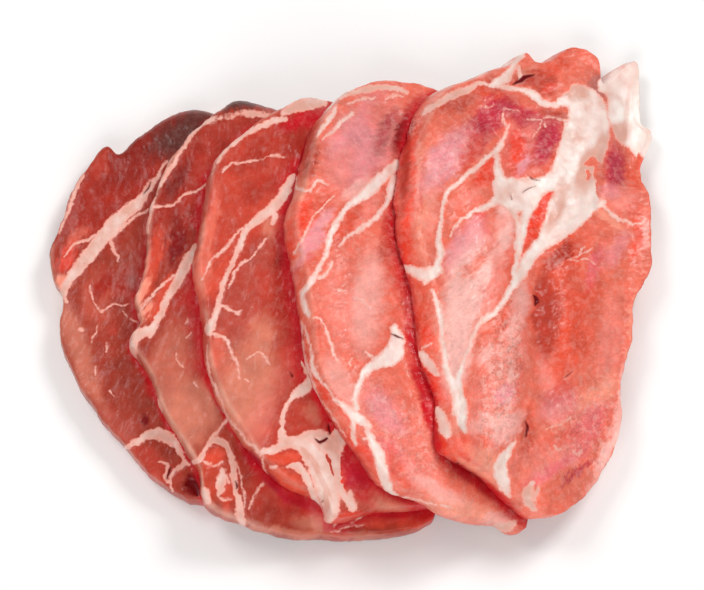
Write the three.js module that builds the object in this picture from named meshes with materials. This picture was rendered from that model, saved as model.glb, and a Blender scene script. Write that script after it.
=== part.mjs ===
// Five raw slices of pork collar, cut across the muscle and laid in a leaning row.
// Millimetres, +Z up. The origin is on the floor, at the middle of the row.
// slice_1 lies flat at the left. Each next slice lies on the one before, further to the right,
// and its right edge comes down to the floor, so the later slices lean to the right.
import * as THREE from 'three';

// Driving sizes
const PITCH = 13.5;          // from the underside of one slice to the underside of the next
const GAP = 0.8;             // air left between a slice and the one that lies on it
const THICK = PITCH - GAP;
const SHELF = 5;             // from a slice's edge to where the next one has begun to come down
const LEAST_REACH = 24;      // shortest and longest stretch in which a slice comes down
const MOST_REACH = 60;       // from the slice under it to the floor
const BEND = 0.2;            // share of that stretch that each of its two bends takes on either side
const SOFTENING = 0.2;       // radians over which an outline is evened out where slices drape over it
const EDGE_ROUND = 1.6;      // rounding of the cut edge at the top face
const FOOT_ROUND = 0.7;      // the same at the underside
const SIDE_BULGE = 0.5;      // how far the cut side swells between its edges

// Fineness of the faceted surfaces
const AROUND = 64;
const OUTLINE_STEPS = 720;
const ANGLE_STEPS = 360;
const UNDER_RINGS = 5;

// Colours and finish
const FINISH = { roughness: 0.42, metalness: 0 };

// Each slice, from the lowest to the topmost. The outline runs round the underside, [x, y].
// lean is how far the top face is shifted to the right, as the slice tips over.
// A valley is a crease or a seam between two muscles, or a thin stretch: its route on the top
// face, its depth and its half width. A swelling is a muscle or a fold that stands up.
// A round end is where the outer side of the joint turns over to the top face.
const SLICES = [
  {
    name: 'slice_1',
    colour: '#b4584a',
    lean: 0,
    outline: [
      [-56, 70], [-68, 68], [-82, 57], [-88, 51], [-92, 54], [-96, 50], [-103, 38], [-108, 22],
      [-111, 12], [-109, 0], [-106, -4], [-107, -20], [-94, -46], [-83, -59], [-70, -73], [-57, -80],
      [-29, -70], [-12, -37], [-12, 1], [-29, 45],
    ],
    roundEnd: { at: [-62, 70], radius: 9, spread: 26 },
    topRings: 7,
    valleys: [
      { route: [[-70, 47], [-81, 30], [-95, 13], [-105, -1]], depth: 1.2, width: 6 },
      { route: [[-81, -61], [-64, -56]], depth: 1.2, width: 6 },
    ],
    swellings: [],
  },
  {
    name: 'slice_2',
    colour: '#bd5548',
    lean: 1.5,
    outline: [
      [-33, 67], [-44, 69], [-58, 57], [-69, 41], [-75, 22], [-76, 2], [-79, -9], [-77, -18],
      [-81, -24], [-74, -36], [-67, -53], [-56, -70], [-52, -84], [-38, -90], [-7, -94], [16, -92],
      [27, -86], [21, -59], [13, -15], [-1, 31], [-15, 56],
    ],
    roundEnd: { at: [-42, 70], radius: 8, spread: 20 },
    topRings: 7,
    valleys: [
      { route: [[-59, 6], [-68, -13], [-76, -25]], depth: 1.2, width: 6 },
      { route: [[-45, -55], [-54, -70]], depth: 1, width: 5 },
    ],
    swellings: [],
  },
  {
    name: 'slice_3',
    colour: '#c75f52',
    lean: 3,
    outline: [
      [-6, 67], [-18, 68], [-30, 58], [-43, 48], [-52, 37], [-57, 8], [-58, 0], [-55, -17],
      [-52, -39], [-43, -58], [-27, -77], [-12, -84], [-10, -90], [7, -86], [27, -84], [37, -68],
      [41, -44], [38, 1], [23, 45], [9, 62],
    ],
    topRings: 7,
    valleys: [
      { route: [[-23, 30], [-36, 12], [-44, -7], [-51, -27]], depth: 1.2, width: 6 },
      { route: [[-22, -50], [-25, -66], [-14, -72], [-7, -87]], depth: 1.5, width: 6 },
    ],
    swellings: [],
  },
  {
    name: 'slice_4',
    colour: '#cf6a5e',
    lean: 5,
    outline: [
      [27, 74], [5, 75], [-7, 67], [-16, 49], [-21, 29], [-25, 11], [-23, -1], [-20, -18],
      [-17, -39], [-10, -56], [0, -69], [7, -79], [18, -84], [35, -90], [48, -89], [55, -91],
      [57, -84], [59, -67], [63, -26], [62, 20], [49, 57],
    ],
    topRings: 8,
    valleys: [
      { route: [[13, 35], [-2, 18], [-9, 0], [-19, -18]], depth: 1.5, width: 6 },
      { route: [[14, -32], [5, -40], [-1, -56], [5, -65], [13, -83]], depth: 1.5, width: 6 },
    ],
    swellings: [],
  },
  {
    name: 'slice_5',
    colour: '#d8675a',
    lean: 8,
    outline: [
      [58, 88], [54, 87], [47, 82], [38, 76], [27, 69], [20, 55], [15, 33], [14, 11], [19, -12],
      [22, -36], [27, -50], [29, -70], [43, -76], [56, -86], [63, -87], [71, -80], [81, -67],
      [87, -52], [88, -38], [93, -22], [94, -8], [100, 3], [102, 20], [101, 34], [99, 46],
      [103, 56], [103, 60], [100, 64], [100, 75], [99, 82], [97, 86], [94, 85], [86, 79],
      [84, 91], [78, 94], [71, 92], [66, 87], [62, 87],
    ],
    topRings: 12,
    valleys: [
      { route: [[64, -8], [63, -30], [68, -49]], depth: 3.5, width: 5 },
      { route: [[86, 40], [68, 9], [51, -19], [37, -41], [38, -65]], depth: 1.5, width: 6 },
      { route: [[53, 54], [34, 25], [30, 0], [24, -12]], depth: 1.5, width: 6 },
      { route: [[50, 75], [65, 68], [82, 66], [90, 45]], depth: 2, width: 6 },
      { route: [[92, 26], [107, 23]], depth: 2, width: 5 },
      { route: [[104, 78], [106, 60], [104, 45]], depth: 6, width: 9 },
    ],
    swellings: [
      { at: [80, -16], height: 2, spread: 20 },
      { at: [78, 80], height: 3, spread: 9 },
      { at: [38, -72], height: 2.5, spread: 7 },
    ],
  },
];

// Joins an outline's points with a smooth closed curve, and lists its radius about its centre
// for a round of angles, each one evened out over the points at nearly the same angle.
function traceOutline(points) {
  const corners = points.map(([x, y]) => new THREE.Vector3(x, y, 0));
  const curve = new THREE.CatmullRomCurve3(corners, true, 'centripetal');
  const dense = curve.getSpacedPoints(OUTLINE_STEPS);
  dense.pop();
  const centre = new THREE.Box3().setFromPoints(dense).getCenter(new THREE.Vector3());
  const arms = dense.map((point) => point.clone().sub(centre));
  const radii = [];
  for (let step = 0; step < ANGLE_STEPS; step += 1) {
    const angle = (step * 2 * Math.PI) / ANGLE_STEPS;
    let sum = 0;
    let weights = 0;
    for (const arm of arms) {
      const apart = Math.abs(Math.atan2(arm.y, arm.x) - angle) % (2 * Math.PI);
      const weight = Math.max(0, SOFTENING - Math.min(apart, 2 * Math.PI - apart));
      sum += weight * arm.length();
      weights += weight;
    }
    radii.push(sum / weights);
  }
  return { curve, centre, radii };
}

// How far a point lies outside the outline, along the line from its centre: negative inside.
function pastEdge({ centre, radii }, x, y) {
  const dx = x - centre.x;
  const dy = y - centre.y;
  const turns = Math.atan2(dy, dx) / (2 * Math.PI) + 1;
  const place = (turns % 1) * ANGLE_STEPS;
  const before = Math.floor(place) % ANGLE_STEPS;
  const radius = THREE.MathUtils.lerp(radii[before], radii[(before + 1) % ANGLE_STEPS], place % 1);
  return Math.hypot(dx, dy) - radius;
}

// A straight slope from 0 to 1 as share goes from 0 to 1, with both of its ends bent smoothly.
function slope(share) {
  if (share < BEND) {
    return Math.max(0, share + BEND) ** 2 / (4 * BEND);
  }
  if (share > 1 - BEND) {
    return 1 - Math.max(0, 1 + BEND - share) ** 2 / (4 * BEND);
  }
  return share;
}

// Height that one slice gives to what lies over it: all of PITCH over its top face and, past its
// edge, less and less, down to nothing where the next slice ends.
function liftOver(lower, upper, x, y) {
  const past = pastEdge(lower.trace, x - lower.lean, y) - SHELF;
  const room = Math.max(0, -pastEdge(upper.trace, x, y));
  const reach = THREE.MathUtils.clamp(past + room, LEAST_REACH, MOST_REACH);
  return PITCH * (1 - slope(past / reach));
}

// Height of a slice's underside: the sum of what the slices under it give.
function underside(slices, index, x, y) {
  let height = 0;
  for (let below = 0; below < index; below += 1) {
    height += liftOver(slices[below], slices[below + 1], x, y);
  }
  return height;
}

// Distance from a point to a route of straight stretches.
function distanceToRoute(route, x, y) {
  const point = new THREE.Vector3(x, y, 0);
  let nearest = Infinity;
  for (let step = 1; step < route.length; step += 1) {
    const from = new THREE.Vector3(...route[step - 1], 0);
    const to = new THREE.Vector3(...route[step], 0);
    const closest = new THREE.Line3(from, to).closestPointToPoint(point, true, new THREE.Vector3());
    nearest = Math.min(nearest, closest.distanceTo(point));
  }
  return nearest;
}

// How far the top face stands up, or is pressed in, at a point.
function relief(slice, x, y) {
  let depth = 0;
  for (const valley of slice.valleys) {
    const away = distanceToRoute(valley.route, x, y) / valley.width;
    depth = Math.max(depth, valley.depth * Math.exp(-away * away));
  }
  let height = 0;
  for (const swelling of slice.swellings) {
    const away = Math.hypot(x - swelling.at[0], y - swelling.at[1]) / swelling.spread;
    height += swelling.height * Math.exp(-away * away);
  }
  return height - depth;
}

// Rounding of the top edge at an outline point: small all round, large at a round end.
function edgeRound(slice, x, y) {
  if (!slice.roundEnd) {
    return EDGE_ROUND;
  }
  const { at, radius, spread } = slice.roundEnd;
  const away = Math.hypot(x - at[0], y - at[1]) / spread;
  return EDGE_ROUND + (radius - EDGE_ROUND) * Math.exp(-away * away);
}

// The side of a slice at one outline point, from the underside up: how far in, and how high as
// a share of the thickness.
function sideProfile(round) {
  const arcShare = 1 - Math.SQRT1_2;
  return [
    [FOOT_ROUND, 0],
    [0, FOOT_ROUND / THICK],
    [-SIDE_BULGE, 0.5 - 0.5 * (round / THICK)],
    [0, 1 - round / THICK],
    [arcShare * round, 1 - (arcShare * round) / THICK],
    [round, 1],
  ];
}

// One slice: rings of points carried from the middle of the underside, out over the side and
// in over the top face to its middle, then joined by triangles.
function makeSlice(slices, index) {
  const slice = slices[index];
  const { curve, centre } = slice.trace;
  const rim = curve.getSpacedPoints(AROUND);
  rim.pop();
  rim.reverse();
  const positions = [];

  function addPoint(x, y, rise) {
    const shifted = x + slice.lean * rise;
    const raised = relief(slice, shifted, y) * rise ** 3;
    positions.push(shifted, y, underside(slices, index, shifted, y) + THICK * rise + raised);
  }

  function addRing(placeOf) {
    for (const corner of rim) {
      const arm = corner.clone().sub(centre);
      const { inwards, rise } = placeOf(corner, arm.length());
      arm.setLength(arm.length() - inwards);
      addPoint(centre.x + arm.x, centre.y + arm.y, rise);
    }
  }

  addPoint(centre.x, centre.y, 0);
  for (let ring = 1; ring <= UNDER_RINGS; ring += 1) {
    const share = ring / (UNDER_RINGS + 1);
    addRing((corner, length) => ({ inwards: (1 - share) * length, rise: 0 }));
  }
  const sideSteps = sideProfile(EDGE_ROUND).length;
  for (let step = 0; step < sideSteps; step += 1) {
    addRing((corner) => {
      const [inwards, rise] = sideProfile(edgeRound(slice, corner.x, corner.y))[step];
      return { inwards, rise };
    });
  }
  for (let ring = slice.topRings; ring >= 1; ring -= 1) {
    const share = ring / (slice.topRings + 1);
    addRing((corner, length) => {
      const round = edgeRound(slice, corner.x, corner.y);
      return { inwards: length - share * (length - round), rise: 1 };
    });
  }
  addPoint(centre.x, centre.y, 1);

  const rings = UNDER_RINGS + sideSteps + slice.topRings;
  const last = 1 + rings * AROUND;
  const faces = [];
  for (let k = 0; k < AROUND; k += 1) {
    const next = (k + 1) % AROUND;
    faces.push(0, 1 + k, 1 + next);
    for (let ring = 0; ring < rings - 1; ring += 1) {
      const inner = 1 + ring * AROUND;
      const outer = inner + AROUND;
      faces.push(inner + k, outer + k, outer + next);
      faces.push(inner + k, outer + next, inner + next);
    }
    const top = 1 + (rings - 1) * AROUND;
    faces.push(top + k, last, top + next);
  }
  const geometry = new THREE.BufferGeometry();
  geometry.setAttribute('position', new THREE.Float32BufferAttribute(positions, 3));
  geometry.setIndex(faces);
  geometry.computeVertexNormals();
  const mesh = new THREE.Mesh(geometry, new THREE.MeshStandardMaterial({ color: slice.colour, ...FINISH }));
  mesh.name = slice.name;
  return mesh;
}

const traced = SLICES.map((slice) => ({ ...slice, trace: traceOutline(slice.outline) }));
const group = new THREE.Group();
traced.forEach((slice, index) => group.add(makeSlice(traced, index)));

export default group;
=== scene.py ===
# %% [markdown]
# # A leaning row of raw pork collar slices
# A pork collar is a joint of many small muscles with seams of fat between them. Cut across and
# laid down in the order of cutting, the slices lean on each other like books that have slipped.
# This lesson dresses five plain solids as that meat. Everything is in metres, +Z is up.

import bpy
import numpy as np
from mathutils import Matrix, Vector


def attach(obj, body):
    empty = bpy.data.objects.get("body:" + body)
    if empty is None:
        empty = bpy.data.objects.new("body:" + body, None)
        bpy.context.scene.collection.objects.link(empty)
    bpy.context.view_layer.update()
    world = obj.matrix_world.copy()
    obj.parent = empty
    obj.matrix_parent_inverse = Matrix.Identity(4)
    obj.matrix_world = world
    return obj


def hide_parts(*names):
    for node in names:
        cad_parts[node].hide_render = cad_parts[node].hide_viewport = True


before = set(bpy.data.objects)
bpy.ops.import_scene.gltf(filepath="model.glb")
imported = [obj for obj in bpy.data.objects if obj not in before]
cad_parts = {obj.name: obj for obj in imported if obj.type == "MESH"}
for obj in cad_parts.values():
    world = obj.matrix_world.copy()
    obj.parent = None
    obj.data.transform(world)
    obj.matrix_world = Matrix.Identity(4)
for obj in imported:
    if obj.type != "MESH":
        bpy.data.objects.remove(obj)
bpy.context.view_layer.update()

MM = 0.001
print("solids:", sorted(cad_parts))

# %% [markdown]
# ## The camera first
# The photograph looks steeply down on the row. The camera stands at that angle, far enough away
# for the gentle perspective of a long lens. It comes first because the fat seams are read off the
# photograph, and a line of sight from this camera carries each of them to the slice it lies on.

# %% Camera
PHOTO_WIDTH, PHOTO_HEIGHT = 704, 590
MM_PER_PIXEL = 0.36  # at the point that the camera looks at
ELEVATION = np.radians(73.0)
DISTANCE = 800.0  # mm from that point
AIM = np.array([-0.8, -7.1, 20.0])  # mm
SENSOR = 36.0  # mm, the long side
FOCAL_PIXELS = DISTANCE / MM_PER_PIXEL

BACK = np.array([0.0, -np.cos(ELEVATION), np.sin(ELEVATION)])
RIGHT = np.array([1.0, 0.0, 0.0])
UP = np.cross(BACK, RIGHT)
EYE = AIM + DISTANCE * BACK

camera_data = bpy.data.cameras.new("camera")
camera_data.sensor_width = SENSOR
camera_data.lens = FOCAL_PIXELS * SENSOR / PHOTO_WIDTH
camera = bpy.data.objects.new("camera", camera_data)
bpy.context.collection.objects.link(camera)
camera.location = EYE * MM
camera.rotation_euler = Vector(-BACK).to_track_quat("-Z", "Y").to_euler()
bpy.context.scene.camera = camera
print("lens", round(camera_data.lens, 1), "mm")

# %% [markdown]
# ## Outlines
# Every slice is a rounded, lobed shape. A few points give it, and a smooth closed curve joins
# them. The centripetal kind is used because it doesn't overshoot where points lie close together,
# as at the little spikes of fat. The outline runs round the underside, in millimetres. lean is
# how far the top face is shifted to the right, because a slice that tips over carries its top
# with it.

# %% Outlines of the slices
SLICES = {
    "slice_1": {
        "lean": 0.0,
        "outline": [
            (-56, 70), (-68, 68), (-82, 57), (-88, 51), (-92, 54), (-96, 50), (-103, 38),
            (-108, 22), (-111, 12), (-109, 0), (-106, -4), (-107, -20), (-94, -46), (-83, -59),
            (-70, -73), (-57, -80), (-29, -70), (-12, -37), (-12, 1), (-29, 45),
        ],
        "round_end": {"at": (-62, 70), "radius": 9, "spread": 26},
    },
    "slice_2": {
        "lean": 1.5,
        "outline": [
            (-33, 67), (-44, 69), (-58, 57), (-69, 41), (-75, 22), (-76, 2), (-79, -9),
            (-77, -18), (-81, -24), (-74, -36), (-67, -53), (-56, -70), (-52, -84), (-38, -90),
            (-7, -94), (16, -92), (27, -86), (21, -59), (13, -15), (-1, 31), (-15, 56),
        ],
        "round_end": {"at": (-42, 70), "radius": 8, "spread": 20},
    },
    "slice_3": {
        "lean": 3.0,
        "outline": [
            (-6, 67), (-18, 68), (-30, 58), (-43, 48), (-52, 37), (-57, 8), (-58, 0), (-55, -17),
            (-52, -39), (-43, -58), (-27, -77), (-12, -84), (-10, -90), (7, -86), (27, -84),
            (37, -68), (41, -44), (38, 1), (23, 45), (9, 62),
        ],
    },
    "slice_4": {
        "lean": 5.0,
        "outline": [
            (27, 74), (5, 75), (-7, 67), (-16, 49), (-21, 29), (-25, 11), (-23, -1), (-20, -18),
            (-17, -39), (-10, -56), (0, -69), (7, -79), (18, -84), (35, -90), (48, -89),
            (55, -91), (57, -84), (59, -67), (63, -26), (62, 20), (49, 57),
        ],
    },
    "slice_5": {
        "lean": 8.0,
        "outline": [
            (57, 90), (54, 87), (47, 82), (38, 76), (27, 69), (20, 55), (15, 33), (14, 11),
            (19, -12), (22, -36), (27, -50), (29, -70), (43, -76), (56, -86), (64, -88), (72.5, -81),
            (82.5, -67.5), (88, -52.5), (88, -38), (93, -22), (94, -8), (100, 3), (102, 20), (101, 34),
            (99, 46), (103, 56), (103, 60), (100, 64), (100, 75), (100, 82), (98.5, 88), (95, 86),
            (86, 79), (84, 89), (80, 92), (75, 92.5), (71, 91), (66, 86.5), (61, 86),
        ],
    },
}
NAMES = list(SLICES)
OUTLINE_STEPS = 720
CURVE_PARTS = 48  # steps from one given point of an outline to the next
FULL_TURN = 2 * np.pi


def smooth_loop(points, steps):
    """A closed centripetal Catmull-Rom curve through the points, as evenly spaced points.

    Between two points it is a cubic whose end slopes come from the neighbours, each distance
    counted by its square root."""
    p1 = np.asarray(points, float)
    p0, p2, p3 = np.roll(p1, 1, 0), np.roll(p1, -1, 0), np.roll(p1, -2, 0)

    def root(a, b):
        return np.sqrt(np.linalg.norm(b - a, axis=1))[:, None]

    d0, d1, d2 = root(p0, p1), root(p1, p2), root(p2, p3)
    m1 = ((p1 - p0) / d0 - (p2 - p0) / (d0 + d1) + (p2 - p1) / d1) * d1
    m2 = ((p2 - p1) / d1 - (p3 - p1) / (d1 + d2) + (p3 - p2) / d2) * d1
    t = np.linspace(0, 1, CURVE_PARTS, endpoint=False)[:, None, None]
    curve = p1 + m1 * t + (-3 * p1 + 3 * p2 - 2 * m1 - m2) * t**2
    curve = curve + (2 * p1 - 2 * p2 + m1 + m2) * t**3
    dense = curve.transpose(1, 0, 2).reshape(-1, 2)
    closed = np.vstack([dense, dense[:1]])
    along = np.concatenate([[0], np.cumsum(np.linalg.norm(np.diff(closed, axis=0), axis=1))])
    even = np.linspace(0, along[-1], steps, endpoint=False)
    return np.stack([np.interp(even, along, closed[:, k]) for k in (0, 1)], -1)


SOFTENING = 0.2  # radians over which an outline is evened out where slices drape over it
for shape in SLICES.values():
    loop = smooth_loop(shape["outline"], OUTLINE_STEPS)
    shape["centre"] = (loop.min(0) + loop.max(0)) / 2
    shape["half"] = (loop.max(0) - loop.min(0)) / 2
    arms = loop - shape["centre"]
    turns = np.arctan2(arms[:, 1], arms[:, 0])
    order = np.argsort(turns)
    shape["angles"] = turns[order]
    shape["radii"] = np.hypot(arms[:, 0], arms[:, 1])[order]
    shape["soft_angles"] = np.radians(np.arange(360))
    apart = shape["angles"][None] - shape["soft_angles"][:, None]
    apart = np.abs((apart + np.pi) % FULL_TURN - np.pi)
    weight = np.maximum(0, SOFTENING - apart)
    shape["soft_radii"] = (weight * shape["radii"]).sum(1) / weight.sum(1)
print("widths", [float(np.round(2 * s["half"][0])) for s in SLICES.values()], "mm")

# %% [markdown]
# ## How the slices lie on each other
# The lowest slice is flat on the board. Wherever a slice lies on another it is lifted by one
# thickness, and past the lower one's edge it comes down on a slope, to the board at its own edge.
# Adding up these lifts gives the underside of every slice, and no two of them can meet.

# %% Heights of the undersides
PITCH = 13.5  # mm from the underside of one slice to that of the next
GAP = 0.8  # mm of air left between two slices
THICK = PITCH - GAP
SHELF = 5.0  # mm from a slice's edge to where the next one has begun to come down
LEAST_REACH, MOST_REACH = 24.0, 60.0
BEND = 0.2  # share of the slope that each of its two bends takes


def past_outline(name, x, y, softened=False):
    """Distance outside a slice's outline, or its softened one, along the line from its centre."""
    shape = SLICES[name]
    angles, radii = ("soft_angles", "soft_radii") if softened else ("angles", "radii")
    dx, dy = x - shape["centre"][0], y - shape["centre"][1]
    radius = np.interp(np.arctan2(dy, dx), shape[angles], shape[radii], period=FULL_TURN)
    return np.hypot(dx, dy) - radius


def slope(share):
    """A straight slope from 0 to 1 with both ends bent along parabolas."""
    low = np.maximum(0, share + BEND) ** 2 / (4 * BEND)
    high = 1 - np.maximum(0, 1 + BEND - share) ** 2 / (4 * BEND)
    return np.where(share < BEND, low, np.where(share > 1 - BEND, high, share))


def underside(name, x, y):
    """Height of a slice's underside: the sum of one lift for each slice below it."""
    height = np.zeros(np.broadcast(x, y).shape)
    for lower, upper in zip(NAMES, NAMES[1:NAMES.index(name) + 1]):
        past = past_outline(lower, x - SLICES[lower]["lean"], y, softened=True) - SHELF
        room = np.maximum(0, -past_outline(upper, x, y, softened=True))
        reach = np.clip(past + room, LEAST_REACH, MOST_REACH)
        height = height + PITCH * (1 - slope(past / reach))
    return height


def in_photo(x, y, z):
    """The pixel of the photograph that shows each point: its offset from the eye, across and up,
    over its distance along the line of sight."""
    offset = np.stack([x, y, z], -1) - EYE
    away = -(offset @ BACK)
    across = PHOTO_WIDTH / 2 + FOCAL_PIXELS * (offset @ RIGHT) / away
    down = PHOTO_HEIGHT / 2 - FOCAL_PIXELS * (offset @ UP) / away
    return across, down


for name in NAMES:
    where = SLICES[name]["centre"]
    print(name, "underside at its centre", round(float(underside(name, *where)), 1), "mm")

# %% [markdown]
# ## Unevenness
# Meat has no straight line or even tone, so a smooth noise is needed in the shapes as well as in
# the materials. This one draws a random height for each point of a grid and blends between them.

# %% Noise for shapes
SEED, LAYERS, SIDE = 11, 8, 256  # layers of random heights, and grid points along a side
LAYER_SHIFT = 57.3, 31.7  # grid squares between two layers, so that none line up
FINER = 0.55  # height of each finer ripple against the one before
LATTICE = np.random.default_rng(SEED).uniform(-1, 1, (LAYERS, SIDE, SIDE))


def ripple(x, y, size, layer=0):
    """Smooth noise between -1 and 1 whose bumps are about size across: random grid values,
    blended with the quintic 6t^5 - 15t^4 + 10t^3."""
    u, v = x / size + LAYER_SHIFT[0] * layer, y / size + LAYER_SHIFT[1] * layer
    i, j = np.floor(u).astype(int), np.floor(v).astype(int)
    s, t = u - i, v - j
    s, t = s**3 * (s * (6 * s - 15) + 10), t**3 * (t * (6 * t - 15) + 10)
    i, j, next_i, next_j = i % SIDE, j % SIDE, (i + 1) % SIDE, (j + 1) % SIDE
    grid = LATTICE[layer % LAYERS]
    low = grid[i, j] * (1 - s) + grid[next_i, j] * s
    high = grid[i, next_j] * (1 - s) + grid[next_i, next_j] * s
    return low * (1 - t) + high * t


def rough(x, y, size, layer=0, octaves=3):
    """Several ripples on top of each other, each half the size and a little over half as high."""
    total, height = 0, 1.0
    for octave in range(octaves):
        total = total + height * ripple(x, y, size / 2**octave, layer + octave)
        height *= FINER
    return total


def smoothstep(low, high, value):
    """0 below low, 1 above high, and 3t^2 - 2t^3 between."""
    t = np.clip((value - low) / (high - low), 0, 1)
    return t * t * (3 - 2 * t)


print("noise:", LATTICE.size, "random heights")

# %% [markdown]
# ## Fat seams
# Fat runs between the muscles in seams that fork, swell and thin out. Each seam is a route
# with a width at every point, in pixels of the photograph, first to last as the eye follows it.
# A soft threshold on the distance to these routes is what tells fat from lean later, so a seam
# may be a broad patch as well as a vein half a millimetre wide.

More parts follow.
